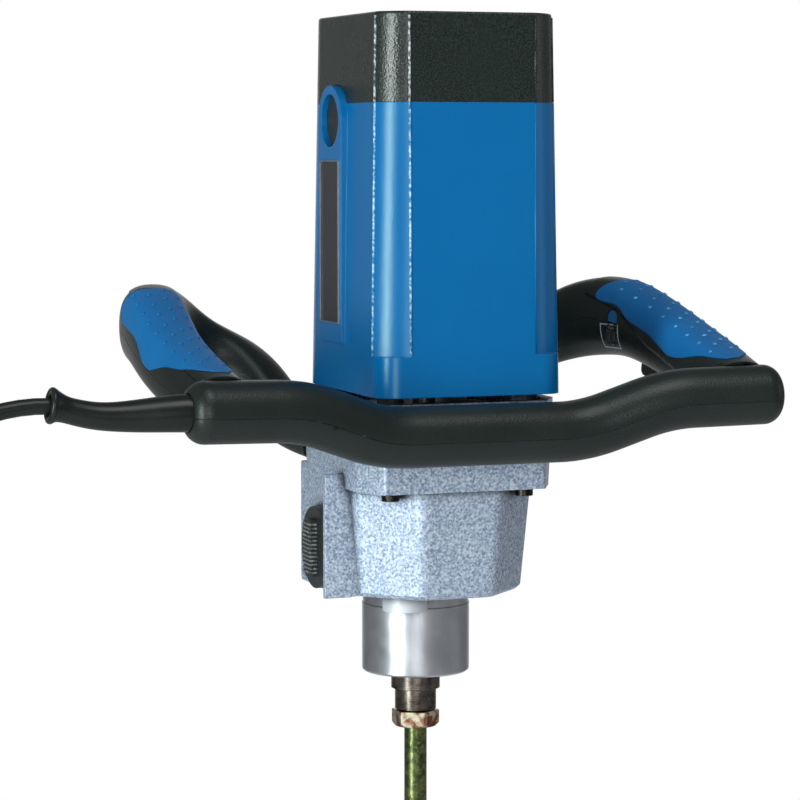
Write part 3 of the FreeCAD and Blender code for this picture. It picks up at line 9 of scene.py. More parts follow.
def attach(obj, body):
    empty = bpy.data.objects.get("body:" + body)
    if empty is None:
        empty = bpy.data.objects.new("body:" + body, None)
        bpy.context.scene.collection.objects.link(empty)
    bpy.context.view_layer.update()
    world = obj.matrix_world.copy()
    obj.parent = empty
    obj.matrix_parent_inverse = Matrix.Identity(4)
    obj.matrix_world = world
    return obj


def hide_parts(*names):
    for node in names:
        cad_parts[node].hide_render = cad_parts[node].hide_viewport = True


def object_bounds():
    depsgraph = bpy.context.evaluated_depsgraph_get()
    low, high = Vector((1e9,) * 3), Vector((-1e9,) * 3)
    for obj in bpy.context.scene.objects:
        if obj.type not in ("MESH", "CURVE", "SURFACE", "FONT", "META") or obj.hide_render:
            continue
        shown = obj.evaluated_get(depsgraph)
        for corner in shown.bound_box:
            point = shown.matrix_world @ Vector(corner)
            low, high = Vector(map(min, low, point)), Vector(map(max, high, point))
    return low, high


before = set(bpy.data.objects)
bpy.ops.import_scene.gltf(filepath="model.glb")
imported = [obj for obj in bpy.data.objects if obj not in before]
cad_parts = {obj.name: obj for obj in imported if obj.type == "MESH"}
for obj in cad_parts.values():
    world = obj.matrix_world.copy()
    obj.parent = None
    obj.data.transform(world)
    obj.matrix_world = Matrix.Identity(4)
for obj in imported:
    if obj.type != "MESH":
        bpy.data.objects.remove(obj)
cad_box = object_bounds()
scene = bpy.context.scene
scene.view_settings.view_transform = "Standard"


# The studio: a pale paper floor under the paddle, two softboxes, a third one overhead and a weak fill.
# The long softbox on the left makes the bright streak down the corner of the motor casing.
def linear(code):
    """An sRGB hex colour as linear red, green, blue and alpha."""
    shares = [int(code[i:i + 2], 16) / 255 for i in (1, 3, 5)]
    return [s / 12.92 if s <= 0.04045 else ((s + 0.055) / 1.055) ** 2.4 for s in shares] + [1]


def add(tree, kind, settings=None, links=None, feeds=None):
    """Adds a shader node: its settings by name or socket, the links into it, and a socket that it feeds.

    The stops of a colour ramp are pairs of a place from 0 to 1 and an sRGB hex colour.
    """
    node = tree.nodes.new("ShaderNode" + kind)
    for name, value in (settings or {}).items():
        if name == "stops":
            stops = node.color_ramp.elements
            for i, (spot, code) in enumerate(value):
                stop = stops[i] if i < len(stops) else stops.new(spot)
                stop.position, stop.color = spot, linear(code)
        elif isinstance(name, int) or name in node.inputs:
            node.inputs[name].default_value = value
        else:
            setattr(node, name, value)
    for name, source in (links or {}).items():
        tree.links.new(source, node.inputs[name])
    if feeds is not None:
        tree.links.new(node.outputs[0], feeds)
    return node


def new_finish(name, values=None):
    """A fresh material, its node tree, its surface shader set to these values, and the place on the piece."""
    finish = bpy.data.materials.new(name)
    finish.use_nodes = True
    tree = finish.node_tree
    surface = tree.nodes["Principled BSDF"]
    for socket, value in (values or {}).items():
        surface.inputs[socket].default_value = value
    return finish, tree, surface, add(tree, "TexCoord").outputs["Object"]


def new_piece(name, shape, finish):
    """Turns a bmesh into an object of the scene with one material."""
    mesh = bpy.data.meshes.new(name)
    shape.to_mesh(mesh)
    shape.free()
    mesh.materials.append(finish)
    piece = bpy.data.objects.new(name, mesh)
    scene.collection.objects.link(piece)
    return piece


# Matt paper: it takes soft shadows and shows nothing but a trace of its fibres.
fibre_wide, floor_r, floor_gap = 0.00333, 1.4, 0.001
paper, tree, surface, place = new_finish("floor_paper", {"Base Color": linear("#E9EAEC"), "Roughness": 0.9})
fibre = add(tree, "TexNoise", {"Scale": 1 / fibre_wide, "Detail": 2}, {"Vector": place})
add(tree, "Bump", {"Strength": 0.1, "Distance": 0.001}, {"Height": fibre.outputs[0]},
    surface.inputs["Normal"])
floor_shape = bmesh.new()
bmesh.ops.create_circle(floor_shape, cap_ends=True, radius=floor_r, segments=64)
bmesh.ops.translate(floor_shape, vec=(0, 0, cad_box[0].z - floor_gap), verts=floor_shape.verts)
floor = new_piece("floor", floor_shape, paper)

# The backdrop behind the machine is white, also where metal mirrors it; the room round it is dim.
backdrop_way, backdrop_edge, backdrop_core = (0.34, 0.94, 0), 0.84, 0.96
white, mirrored_room, lit_room = 1.0, 0.16, 0.27
world = bpy.data.worlds.new("white_room")
scene.world = world
world.use_nodes = True
tree = world.node_tree
room = tree.nodes["Background"]
room.inputs["Color"].default_value = linear("#FFFFFF")
sight = add(tree, "TexCoord").outputs["Generated"]
facing = add(tree, "VectorMath", {"operation": "DOT_PRODUCT", 1: backdrop_way}, {0: sight})
behind = add(tree, "MapRange", {"From Min": backdrop_edge, "From Max": backdrop_core, "To Min": mirrored_room,
                                "To Max": white}, {"Value": facing.outputs["Value"]})
path = add(tree, "LightPath")
mirrored = add(tree, "Mix", {2: lit_room}, {0: path.outputs["Is Glossy Ray"], 3: behind.outputs[0]})
seen = add(tree, "Math", {"operation": "MAXIMUM"}, {0: path.outputs["Is Camera Ray"],
                                                    1: path.outputs["Is Transmission Ray"]})
add(tree, "Mix", {3: white}, {0: seen.outputs[0], 2: mirrored.outputs[0]}, room.inputs["Strength"])

cool, plain = (0.9, 1.0, 0.97), (1, 1, 1)
for name, watts, wide, high, spot, target, colour in (
    ("left_softbox", 36, 0.34, 1.5, (-1.73, -1.03, 0.2), (0, 0, 0.16), cool),
    ("front_softbox", 18, 1.0, 1.2, (-0.75, -2.7, 0.38), (0, 0, 0.1), plain),
    ("top_softbox", 13, 1.0, 1.0, (0.1, -0.9, 1.9), (0, 0, 0), plain),
    ("right_fill", 1.5, 0.5, 1.2, (1.9, -0.6, 0.5), (0, 0, 0.1), plain),
):
    lamp = bpy.data.lights.new(name, "AREA")
    lamp.shape = "RECTANGLE"
    lamp.energy, lamp.size, lamp.size_y, lamp.color = watts, wide, high, colour
    stand = bpy.data.objects.new(name, lamp)
    stand.location = spot
    stand.rotation_euler = (Vector(target) - Vector(spot)).to_track_quat("-Z", "Y").to_euler()
    scene.collection.objects.link(stand)

# The camera stands a little to the left of the front and looks down by five degrees, as for the photograph.
camera_spot, camera_turn, camera_drop = (-0.53188, -1.43719, 0.26094), math.radians(-20), math.radians(5.06)
sensor_wide, focal_pixels, frame_pixels = 36, 2911, 800
back = Vector((math.sin(camera_turn) * math.cos(camera_drop), -math.cos(camera_turn) * math.cos(camera_drop),
               math.sin(camera_drop)))
lens = bpy.data.cameras.new("camera")
lens.sensor_width = sensor_wide
lens.lens = sensor_wide * focal_pixels / frame_pixels
lens.clip_start, lens.clip_end = 0.05, 50
camera = bpy.data.objects.new("camera", lens)
camera.location = camera_spot
camera.rotation_euler = (-back).to_track_quat("-Z", "Y").to_euler()
scene.collection.objects.link(camera)
scene.camera = camera


# The gear case: one aluminium die casting with a flange, draft and eight flat sides.
# Silver hammer lacquer is sprayed on and sets in small glossy dimples; the boss's foot is machined bare.
def dress(finish, *names):
    """Gives carried-over solids their finish."""
    for name in names:
        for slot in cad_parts[name].material_slots:
            slot.material = finish


def painted_corner_shade(tree, tone, dark):
    """A colour with painted shade: it turns dark in narrow corners and under overhangs, by ambient occlusion.
    """
    sky = add(tree, "AmbientOcclusion", {"samples": 8, "Distance": 0.008})
    clear = add(tree, "MapRange", {"From Min": 0.52, "From Max": 0.93}, {"Value": sky.outputs["AO"]})
    return add(tree, "Mix", {"data_type": "RGBA", 6: linear(dark)}, {0: clear.outputs[0], 7: tone}).outputs[2]


# The dimples are about 1 mm wide and are drawn at that size; each one leans and shines a little differently.
dimple_wide, fleck_wide, cloud_wide, dimple_share = 0.001, 0.0013, 0.03, 0.5
boss_foot, lacquer_edge = 0.0274, 0.0002
hammer_lacquer, tree, surface, place = new_finish("hammer_lacquer_on_cast_aluminium", {"Metallic": 0.35})
dimple = add(tree, "TexVoronoi", {"Scale": 1 / dimple_wide}, {"Vector": place})
fleck = add(tree, "TexNoise", {"Scale": 1 / fleck_wide, "Detail": 2}, {"Vector": place})
cloud = add(tree, "TexNoise", {"Scale": 1 / cloud_wide, "Detail": 2}, {"Vector": place})
mingle = add(tree, "Math", {"operation": "MULTIPLY_ADD", 1: dimple_share},
             {0: dimple.outputs["Color"], 2: fleck.outputs[0]})
tone = add(tree, "ValToRGB", {"stops": [(0.5, "#7B8AA4"), (0.98, "#CFD9E6"), (0.74, "#A4B4CB")]},
           {"Fac": mingle.outputs[0]})
height = add(tree, "SeparateXYZ", {}, {0: place})
lacquered = add(tree, "MapRange", {"From Min": boss_foot - lacquer_edge,
                                   "From Max": boss_foot + lacquer_edge}, {"Value": height.outputs["Z"]})
shown = add(tree, "Mix", {"data_type": "RGBA", 6: linear("#D3D7DD")},
            {0: lacquered.outputs[0], 7: tone.outputs[0]})
# Painted shade: the lacquer's colour darkens in corners and under the flange's lip.
tree.links.new(painted_corner_shade(tree, shown.outputs[2], "#2E333B"), surface.inputs["Base Color"])
add(tree, "MapRange", {"To Min": 0.42, "To Max": 0.56}, {"Value": cloud.outputs[0]},
    surface.inputs["Roughness"])
relief = add(tree, "Math", {"operation": "MULTIPLY"}, {0: mingle.outputs[0], 1: lacquered.outputs[0]})
edge = add(tree, "Bevel", {"samples": 4, "Radius": 0.0009})
add(tree, "Bump", {"Strength": 0.3, "Distance": 0.0005},
    {"Height": relief.outputs[0], "Normal": edge.outputs[0]}, surface.inputs["Normal"])
dress(hammer_lacquer, "gear_case")

# The neck: a turned aluminium sleeve pressed up into the gear case, on which drill stands clamp.
# The lathe leaves fine rings all the way round, bright where they face the light.
# The rings are about 0.2 mm apart; they are drawn 1.2 mm apart so that they show.
wave_run = 0.314  # A wave texture repeats after this length at a scale of 1.
ring_pitch, scuff_wide = 0.0012, 0.012
turned_aluminium, tree, surface, place = new_finish("turned_aluminium", {"Metallic": 1})
ring = add(tree, "TexWave", {"bands_direction": "Z", "Scale": wave_run / ring_pitch, "Distortion": 0.3},
           {"Vector": place})
scuff = add(tree, "TexNoise", {"Scale": 1 / scuff_wide, "Detail": 4}, {"Vector": place})
tone = add(tree, "ValToRGB", {"stops": [(0, "#AEB3BC"), (1, "#DDE0E5")]}, {"Fac": scuff.outputs[0]})
# Painted shade: the metal's colour darkens in corners, as where the neck meets the gear case.
tree.links.new(painted_corner_shade(tree, tone.outputs[0], "#4A4743"), surface.inputs["Base Color"])
add(tree, "MapRange", {"To Min": 0.26, "To Max": 0.4}, {"Value": scuff.outputs[0]},
    surface.inputs["Roughness"])
edge = add(tree, "Bevel", {"samples": 4, "Radius": 0.0006})
add(tree, "Bump", {"Strength": 0.03, "Distance": 0.0002},
    {"Height": ring.outputs["Fac"], "Normal": edge.outputs[0]}, surface.inputs["Normal"])
dress(turned_aluminium, "neck_collar", "bearing_plate")

# Gears, shafts and ball bearings: hardened steel, cut or turned and then ground, and wet with grease.
# They shine unevenly, with fine scratches where they run against each other.
scratch_wide = 0.002
ground_steel, tree, surface, place = new_finish("ground_steel", {"Metallic": 1})
scratch = add(tree, "TexNoise", {"Scale": 1 / scratch_wide, "Detail": 3}, {"Vector": place})
add(tree, "ValToRGB", {"stops": [(0, "#6E7072"), (1, "#A6A7A8")]}, {"Fac": scratch.outputs[0]},
    surface.inputs["Base Color"])
add(tree, "MapRange", {"To Min": 0.2, "To Max": 0.4}, {"Value": scratch.outputs[0]},
    surface.inputs["Roughness"])
dress(ground_steel, "idler_shaft", "idler_gear", "spindle_gear", "armature_shaft", "idler_bearings",
      "spindle_bearings", "lower_motor_bearing", "upper_motor_bearing", "brush_springs", "dial_pin",
      "bar_nut_plate")

# The output spindle: a forged and turned steel shaft that carries the paddle, burnished in oil.
# It has gone a warm dark brown in stains, and the turning marks still catch the light.
stain_wide, turning_pitch = 0.006, 0.0009
burnished_steel, tree, surface, place = new_finish("burnished_steel", {"Metallic": 1})
stain = add(tree, "TexNoise", {"Scale": 1 / stain_wide, "Detail": 5, "Roughness": 0.65}, {"Vector": place})
add(tree, "ValToRGB", {"stops": [(0.3, "#2C2724"), (0.75, "#8A8078")]}, {"Fac": stain.outputs[0]},
    surface.inputs["Base Color"])
add(tree, "MapRange", {"To Min": 0.18, "To Max": 0.4}, {"Value": stain.outputs[0]},
    surface.inputs["Roughness"])
turning = add(tree, "TexWave", {"bands_direction": "Z", "Scale": wave_run / turning_pitch, "Distortion": 0.8},
              {"Vector": place})
edge = add(tree, "Bevel", {"samples": 4, "Radius": 0.0005})
add(tree, "Bump", {"Strength": 0.2, "Distance": 0.0002},
    {"Height": turning.outputs["Fac"], "Normal": edge.outputs[0]}, surface.inputs["Normal"])
dress(burnished_steel, "output_spindle")

# The mixing paddle: a drawn steel rod with a welded wire cage and a hexagon, zinc plated and passivated.
# The passivation is dark green on the rod and copper red on the hexagon, with gold specks of wear.
drift_wide, speck_wide, hexagon_foot, hexagon_blend = 0.005, 0.0016, -0.0485, 0.001
yellow_zinc, tree, surface, place = new_finish("yellow_passivated_zinc", {"Metallic": 1})
drift = add(tree, "TexNoise", {"Scale": 1 / drift_wide, "Detail": 3, "Distortion": 0.6}, {"Vector": place})
tone = add(tree, "ValToRGB", {"stops": [(0.36, "#405236"), (0.7, "#7F8859")]}, {"Fac": drift.outputs[0]})
blush = add(tree, "ValToRGB", {"stops": [(0.42, "#93553A"), (0.6, "#E3DBC6")]}, {"Fac": drift.outputs[0]})
height = add(tree, "SeparateXYZ", {}, {0: place})
on_hexagon = add(tree, "MapRange", {"From Min": hexagon_foot - hexagon_blend,
                                    "From Max": hexagon_foot + hexagon_blend}, {"Value": height.outputs["Z"]})
plated = add(tree, "Mix", {"data_type": "RGBA"},
             {0: on_hexagon.outputs[0], 6: tone.outputs[0], 7: blush.outputs[0]})
speck = add(tree, "TexNoise", {"Scale": 1 / speck_wide, "Detail": 4, "Roughness": 0.75}, {"Vector": place})
worn = add(tree, "MapRange", {"From Min": 0.58, "From Max": 0.68}, {"Value": speck.outputs[0]})
coat = add(tree, "Mix", {"data_type": "RGBA", 7: linear("#BFA552")},
           {0: worn.outputs[0], 6: plated.outputs[2]})
tree.links.new(coat.outputs[2], surface.inputs["Base Color"])
add(tree, "MapRange", {"To Min": 0.2, "To Max": 0.45}, {"Value": speck.outputs[0]},
    surface.inputs["Roughness"])
edge = add(tree, "Bevel", {"samples": 4, "Radius": 0.0006})
add(tree, "Bump", {"Strength": 0.2, "Distance": 0.0003},
    {"Height": speck.outputs[0], "Normal": edge.outputs[0]}, surface.inputs["Normal"])
dress(yellow_zinc, "mixing_paddle")

# Screws and bolts: cold-headed steel with a black oxide skin.
# They are a little brown and dull where a driver has turned them.
rub_wide = 0.0015
black_oxide, tree, surface, place = new_finish("black_oxide_steel", {"Metallic": 1})
rub = add(tree, "TexNoise", {"Scale": 1 / rub_wide, "Detail": 3}, {"Vector": place})
add(tree, "ValToRGB", {"stops": [(0.35, "#1A1A1B"), (0.8, "#55504B")]}, {"Fac": rub.outputs[0]},
    surface.inputs["Base Color"])
add(tree, "MapRange", {"To Min": 0.28, "To Max": 0.5}, {"Value": rub.outputs[0]}, surface.inputs["Roughness"])
dress(black_oxide, "casing_screws", "end_cap_screws", "plate_screws", "bar_bolts", "arm_bolts")

# The gear selector: a knob of black glass-filled nylon that turns on the left side of the case.
# It is moulded with a fine grain and a slight sheen, like the brush caps, trigger, dial and air guide.
grain_wide, haze_wide = 0.0007, 0.02
selector_nylon, tree, surface, place = new_finish("moulded_black_nylon")
grain = add(tree, "TexNoise", {"Scale": 1 / grain_wide, "Detail": 2}, {"Vector": place})
haze = add(tree, "TexNoise", {"Scale": 1 / haze_wide, "Detail": 3}, {"Vector": place})
add(tree, "ValToRGB", {"stops": [(0, "#1B2020"), (1, "#2B3131")]}, {"Fac": haze.outputs[0]},
    surface.inputs["Base Color"])
add(tree, "MapRange", {"To Min": 0.3, "To Max": 0.45}, {"Value": haze.outputs[0]},
    surface.inputs["Roughness"])
edge = add(tree, "Bevel", {"samples": 4, "Radius": 0.0006})
add(tree, "Bump", {"Strength": 0.15, "Distance": 0.0003},
    {"Height": grain.outputs[0], "Normal": edge.outputs[0]}, surface.inputs["Normal"])
dress(selector_nylon, "selector_knob", "brush_caps", "switch_block", "trigger", "speed_dial", "air_guide")

# Fine cross ribs on the knob's grip bar, moulded in one with it.
# They keep a wet thumb from slipping, and thumbs have rubbed them grey.
rib_middle, rib_deep, rib_long, rib_wide = Vector((-0.0601, -0.003, 0.050)), 0.0039, 0.0134, 0.0011
rib_pitch, rib_count, rib_round, wear_and_highlight_wide = 0.0021, 13, 0.0003, 0.002
ribs = bmesh.new()
for i in range(rib_count):
    lift = Vector((0, 0, rib_pitch * (i - (rib_count - 1) / 2)))
    bmesh.ops.create_cube(ribs, size=1, matrix=Matrix.Translation(rib_middle + lift)
                          @ Matrix.Diagonal((rib_deep, rib_long, rib_wide, 1)))
bmesh.ops.bevel(ribs, geom=ribs.edges[:], offset=rib_round, segments=2, profile=0.5, affect="EDGES",
                material=-1)
rubbed_nylon, tree, surface, place = new_finish("rubbed_black_nylon", {"Roughness": 0.35})
wear_and_highlight = add(tree, "TexNoise", {"Scale": 1 / wear_and_highlight_wide, "Detail": 3}, {"Vector": place})
add(tree, "ValToRGB", {"stops": [(0.35, "#2A3030"), (0.7, "#8B9393")]}, {"Fac": wear_and_highlight.outputs[0]},
    surface.inputs["Base Color"])
selector_ribs = new_piece("selector_ribs", ribs, rubbed_nylon)
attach(selector_ribs, "selector")

# The motor's iron: stacks of half-millimetre sheet, stamped, pressed together and lightly varnished.
# The edges of the sheets show as fine bands; they are drawn 1 mm thick so that they can be seen.
sheet_thick = 0.001
sheet_stack, tree, surface, place = new_finish("stacked_iron_sheets", {"Metallic": 1, "Roughness": 0.45})
sheets = add(tree, "TexWave", {"bands_direction": "Z", "Scale": wave_run / sheet_thick, "Distortion": 0.4},
             {"Vector": place})
add(tree, "ValToRGB", {"stops": [(0, "#4B4D50"), (1, "#86888B")]}, {"Fac": sheets.outputs["Fac"]},
    surface.inputs["Base Color"])
add(tree, "Bump", {"Strength": 0.3, "Distance": 0.0002}, {"Height": sheets.outputs["Fac"]},
    surface.inputs["Normal"])
dress(sheet_stack, "stator_core", "armature_core")

# Field coils, armature windings and commutator: enamelled copper wire, laid in rows and dipped in varnish.
# The wire is 0.6 mm thick and is drawn at that size; the varnish gives it a wet shine.
wire_thick = 0.0006
varnished_copper, tree, surface, place = new_finish(
    "varnished_copper_wire", {"Metallic": 0.9, "Roughness": 0.32, "Coat Weight": 0.4})
strand = add(tree, "TexWave", {"bands_direction": "DIAGONAL", "Scale": wave_run / wire_thick,
                               "Distortion": 0.6}, {"Vector": place})
add(tree, "ValToRGB", {"stops": [(0, "#5B2A14"), (1, "#B8683A")]}, {"Fac": strand.outputs["Fac"]},
    surface.inputs["Base Color"])
add(tree, "Bump", {"Strength": 0.5, "Distance": 0.0003}, {"Height": strand.outputs["Fac"]},
    surface.inputs["Normal"])
dress(varnished_copper, "field_coils", "armature_windings", "commutator")

# The small hidden pieces of the motor, each of one material and pressed, moulded or cast.
# Brass brush holders are tarnished, carbon brushes gritty, the fan of pale nylon cloudy, and the speed
# electronics potted in green resin that has flowed.
for finish_name, values, pattern_wide, detail, dark, pale, node in (
    ("drawn_brass", {"Metallic": 1, "Roughness": 0.3}, 0.004, 4, "#8A6A2C", "#D8B464", "brush_holders"),
    ("pressed_carbon", {"Roughness": 0.6}, 0.0005, 3, "#131313", "#343434", "carbon_brushes"),
    ("natural_nylon", {"Roughness": 0.5}, 0.008, 3, "#B9B6A8", "#DAD7CA", "cooling_fan"),
    ("potting_resin", {"Roughness": 0.3}, 0.01, 2, "#16301F", "#2B5A39", "control_module"),
):
    finish, tree, surface, place = new_finish(finish_name, values)
    pattern = add(tree, "TexNoise", {"Scale": 1 / pattern_wide, "Detail": detail}, {"Vector": place})
    add(tree, "ValToRGB", {"stops": [(0, dark), (1, pale)]}, {"Fac": pattern.outputs[0]},
        surface.inputs["Base Color"])
    dress(finish, node)

# The motor casing: blue glass-filled nylon, moulded with draft and a fine spark-eroded skin.
# It stays satin, so the softbox shows as a broad pale streak, a little cyan, on the rounded corner.
# The eroded skin has a grain of 0.3 mm; it is drawn at 0.5 mm so that it shows.
grain_wide, haze_wide = 0.0005, 0.05
blue_casing, tree, surface, place = new_finish(
    "moulded_blue_nylon", {"Specular IOR Level": 0.42, "Specular Tint": (0.7, 1.0, 0.85, 1)})
grain = add(tree, "TexNoise", {"Scale": 1 / grain_wide, "Detail": 2}, {"Vector": place})
haze = add(tree, "TexNoise", {"Scale": 1 / haze_wide, "Detail": 3}, {"Vector": place})
add(tree, "ValToRGB", {"stops": [(0, "#005F9B"), (1, "#0266A3")]}, {"Fac": haze.outputs[0]},
    surface.inputs["Base Color"])
add(tree, "MapRange", {"To Min": 0.21, "To Max": 0.29}, {"Value": haze.outputs[0]},
    surface.inputs["Roughness"])
edge = add(tree, "Bevel", {"samples": 4, "Radius": 0.0008})
add(tree, "Bump", {"Strength": 0.16, "Distance": 0.0003},
    {"Height": grain.outputs[0], "Normal": edge.outputs[0]}, surface.inputs["Normal"])
dress(blue_casing, "motor_housing", "lock_button")

# The end cap over the brush gear: the same nylon in black, screwed on, with the air inlet on top.
# Its grain is coarser, so the streak breaks up into sparkles and the flat sides look mottled.
grain_wide, mottle_wide, haze_wide = 0.0009, 0.0009, 0.03
black_cap, tree, surface, place = new_finish("grained_black_nylon", {"Specular IOR Level": 0.5})
grain = add(tree, "TexVoronoi", {"feature": "SMOOTH_F1", "Scale": 1 / grain_wide}, {"Vector": place})
haze = add(tree, "TexNoise", {"Scale": 1 / haze_wide, "Detail": 4}, {"Vector": place})
mottle = add(tree, "TexNoise", {"Scale": 1 / mottle_wide, "Detail": 3}, {"Vector": place})
add(tree, "ValToRGB", {"stops": [(0.36, "#0F1816"), (0.68, "#26312E")]}, {"Fac": mottle.outputs[0]},
    surface.inputs["Base Color"])
add(tree, "MapRange", {"To Min": 0.22, "To Max": 0.32}, {"Value": haze.outputs[0]},
    surface.inputs["Roughness"])
edge = add(tree, "Bevel", {"samples": 4, "Radius": 0.0008})
add(tree, "Bump", {"Strength": 0.42, "Distance": 0.0003},
    {"Height": grain.outputs["Distance"], "Normal": edge.outputs[0]}, surface.inputs["Normal"])
dress(black_cap, "end_cap")

# Fine moulded beads: hair-thin ridges down both edges of the front columns, where the mould's slides met.
# They stand a little proud; the left ones are painted pale as a painted highlight of the left softbox, blue
# below and grey on the cap.
bead_r, bead_sides, wear_and_highlight_wide = 0.0006, 12, 0.002
casing_run, cap_run = (0.1548, 0.2807), (0.2809, 0.3235)
column_top, column_draft = 0.3256, 0.0151
outer_x, outer_y, inner_x, inner_y = 0.0472, -0.07, 0.0336, -0.0815


def bead_spot(side, outer, z):
    """A point at a height on an edge of a front column: the outer edge, by the side wall, or the inner."""
    grow = (column_top - z) * column_draft
    if outer:
        return Vector((side * (outer_x + grow), outer_y - grow, z))
    return Vector((side * inner_x, inner_y - grow, z))


bead_highlights = {}
for name, dark, pale in (
    ("blue_bead_painted_highlight", "#1C78B2", "#B9DDEE"),
    ("grey_bead_painted_highlight", "#3A474A", "#CBD5DA"),
):
    bead_highlights[name], tree, surface, place = new_finish(name, {"Roughness": 0.22})
    wear_and_highlight = add(tree, "TexNoise", {"Scale": 1 / wear_and_highlight_wide, "Detail": 2}, {"Vector": place})
    # The pale end of this ramp is painted highlight: the softbox's line along the column edge, broken into
    # dashes by noise.
    add(tree, "ValToRGB", {"stops": [(0.4, dark), (0.62, pale)]}, {"Fac": wear_and_highlight.outputs[0]},
        surface.inputs["Base Color"])
for name, side, run, finish, slot in (
    ("left_casing_beads", -1, casing_run, bead_highlights["blue_bead_painted_highlight"], "blue_plastic"),
    ("left_cap_beads", -1, cap_run, bead_highlights["grey_bead_painted_highlight"], "black_plastic"),
    ("right_casing_beads", 1, casing_run, blue_casing, "blue_plastic"),
    ("right_cap_beads", 1, cap_run, black_cap, "black_plastic"),
):
    beads = bmesh.new()
    for outer in (True, False):
        foot, head = bead_spot(side, outer, run[0]), bead_spot(side, outer, run[1])
        lean = (head - foot).to_track_quat("Z", "Y").to_matrix().to_4x4()
        bmesh.ops.create_cone(beads, cap_ends=True, segments=bead_sides, radius1=bead_r, radius2=bead_r,
                              depth=(head - foot).length, matrix=Matrix.Translation((foot + head) / 2) @ lean)
    for face in beads.faces:
        face.smooth = len(face.verts) == 4
    bead_piece = new_piece(name, beads, finish)
    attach(bead_piece, "machine")

# The rating plate: a bare, dark plastic film, stuck down inside a shallow rim of the left side panel.
# It is printed satin and looks almost even.
brush_wide = 0.002
plate_film, tree, surface, place = new_finish("satin_plate_film")
brush = add(tree, "TexNoise", {"Scale": 1 / brush_wide, "Detail": 2}, {"Vector": place})
add(tree, "ValToRGB", {"stops": [(0, "#242428"), (1, "#323237")]}, {"Fac": brush.outputs[0]},
    surface.inputs["Base Color"])
add(tree, "MapRange", {"To Min": 0.3, "To Max": 0.42}, {"Value": brush.outputs[0]},
    surface.inputs["Roughness"])
dress(plate_film, "badge_plate")

# The plate's border: a hair-thin frame of pressed aluminium round the film, four strips that meet square.
# It is rubbed dull and shows as a grey line.
plate_x, plate_y, plate_z = -0.0521, (-0.0265, 0.0025), (0.1686, 0.2513)
border_deep, border_wide, rub_wide = 0.0006, 0.0006, 0.003
border, tree, surface, place = new_finish("pressed_aluminium_border", {"Metallic": 0.8, "Roughness": 0.4})
rub = add(tree, "TexNoise", {"Scale": 1 / rub_wide, "Detail": 2}, {"Vector": place})
add(tree, "ValToRGB", {"stops": [(0, "#7B8187"), (1, "#B4BAC0")]}, {"Fac": rub.outputs[0]},
    surface.inputs["Base Color"])
upright_long, cross_long = plate_z[1] - plate_z[0] + border_wide, plate_y[1] - plate_y[0] - border_wide
strips = bmesh.new()
for y in plate_y:
    bmesh.ops.create_cube(strips, size=1, matrix=Matrix.Translation((plate_x, y, sum(plate_z) / 2))
                          @ Matrix.Diagonal((border_deep, border_wide, upright_long, 1)))
for z in plate_z:
    bmesh.ops.create_cube(strips, size=1, matrix=Matrix.Translation((plate_x, sum(plate_y) / 2, z))
                          @ Matrix.Diagonal((border_deep, cross_long, border_wide, 1)))
plate_border = new_piece("plate_border", strips, border)
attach(plate_border, "machine")

# The front bar and the shells of the side handles: black glass-filled nylon halves, joined along a seam.
# The mould is etched to a fine leather grain, which hands have polished a little on top.
# The grain is about 0.8 mm wide and is drawn at 1 mm so that it shows.
grain_wide, haze_wide = 0.001, 0.035
handle_nylon, tree, surface, place = new_finish("leather_grained_black_nylon", {"Specular IOR Level": 0.36})
grain = add(tree, "TexVoronoi", {"feature": "SMOOTH_F1", "Scale": 1 / grain_wide, "Smoothness": 0.5},
            {"Vector": place})
haze = add(tree, "TexNoise", {"Scale": 1 / haze_wide, "Detail": 4}, {"Vector": place})
add(tree, "ValToRGB", {"stops": [(0, "#0F1716"), (1, "#1C2623")]}, {"Fac": haze.outputs[0]},
    surface.inputs["Base Color"])
add(tree, "MapRange", {"To Min": 0.31, "To Max": 0.44}, {"Value": haze.outputs[0]},
    surface.inputs["Roughness"])
edge = add(tree, "Bevel", {"samples": 4, "Radius": 0.0008})
add(tree, "Bump", {"Strength": 0.25, "Distance": 0.0003},
    {"Height": grain.outputs["Distance"], "Normal": edge.outputs[0]}, surface.inputs["Normal"])
dress(handle_nylon, "front_bar_upper", "front_bar_lower", "left_handle_upper", "left_handle_lower",
      "right_handle_upper", "right_handle_lower")

# The grip pads: blue thermoplastic rubber moulded over the shells, soft to the hand, dull and slightly dusty.
# Each is a thin cover with a wavy edge on a black bed that fills the recess of the shell.
# Staggered rows of small round pips on top keep a wet glove from slipping.
grain_wide, haze_wide, wear_and_highlight_wide = 0.0006, 0.025, 0.003
grip_rubber, tree, surface, place = new_finish("blue_grip_rubber", {"Specular IOR Level": 0.25})
grain = add(tree, "TexNoise", {"Scale": 1 / grain_wide, "Detail": 2}, {"Vector": place})
haze = add(tree, "TexNoise", {"Scale": 1 / haze_wide, "Detail": 3}, {"Vector": place})
add(tree, "ValToRGB", {"stops": [(0, "#005E9B"), (1, "#0C6BAA")]}, {"Fac": haze.outputs[0]},
    surface.inputs["Base Color"])
add(tree, "MapRange", {"To Min": 0.5, "To Max": 0.64}, {"Value": haze.outputs[0]},
    surface.inputs["Roughness"])
edge = add(tree, "Bevel", {"samples": 4, "Radius": 0.0008})
add(tree, "Bump", {"Strength": 0.12, "Distance": 0.0003},
    {"Height": grain.outputs[0], "Normal": edge.outputs[0]}, surface.inputs["Normal"])
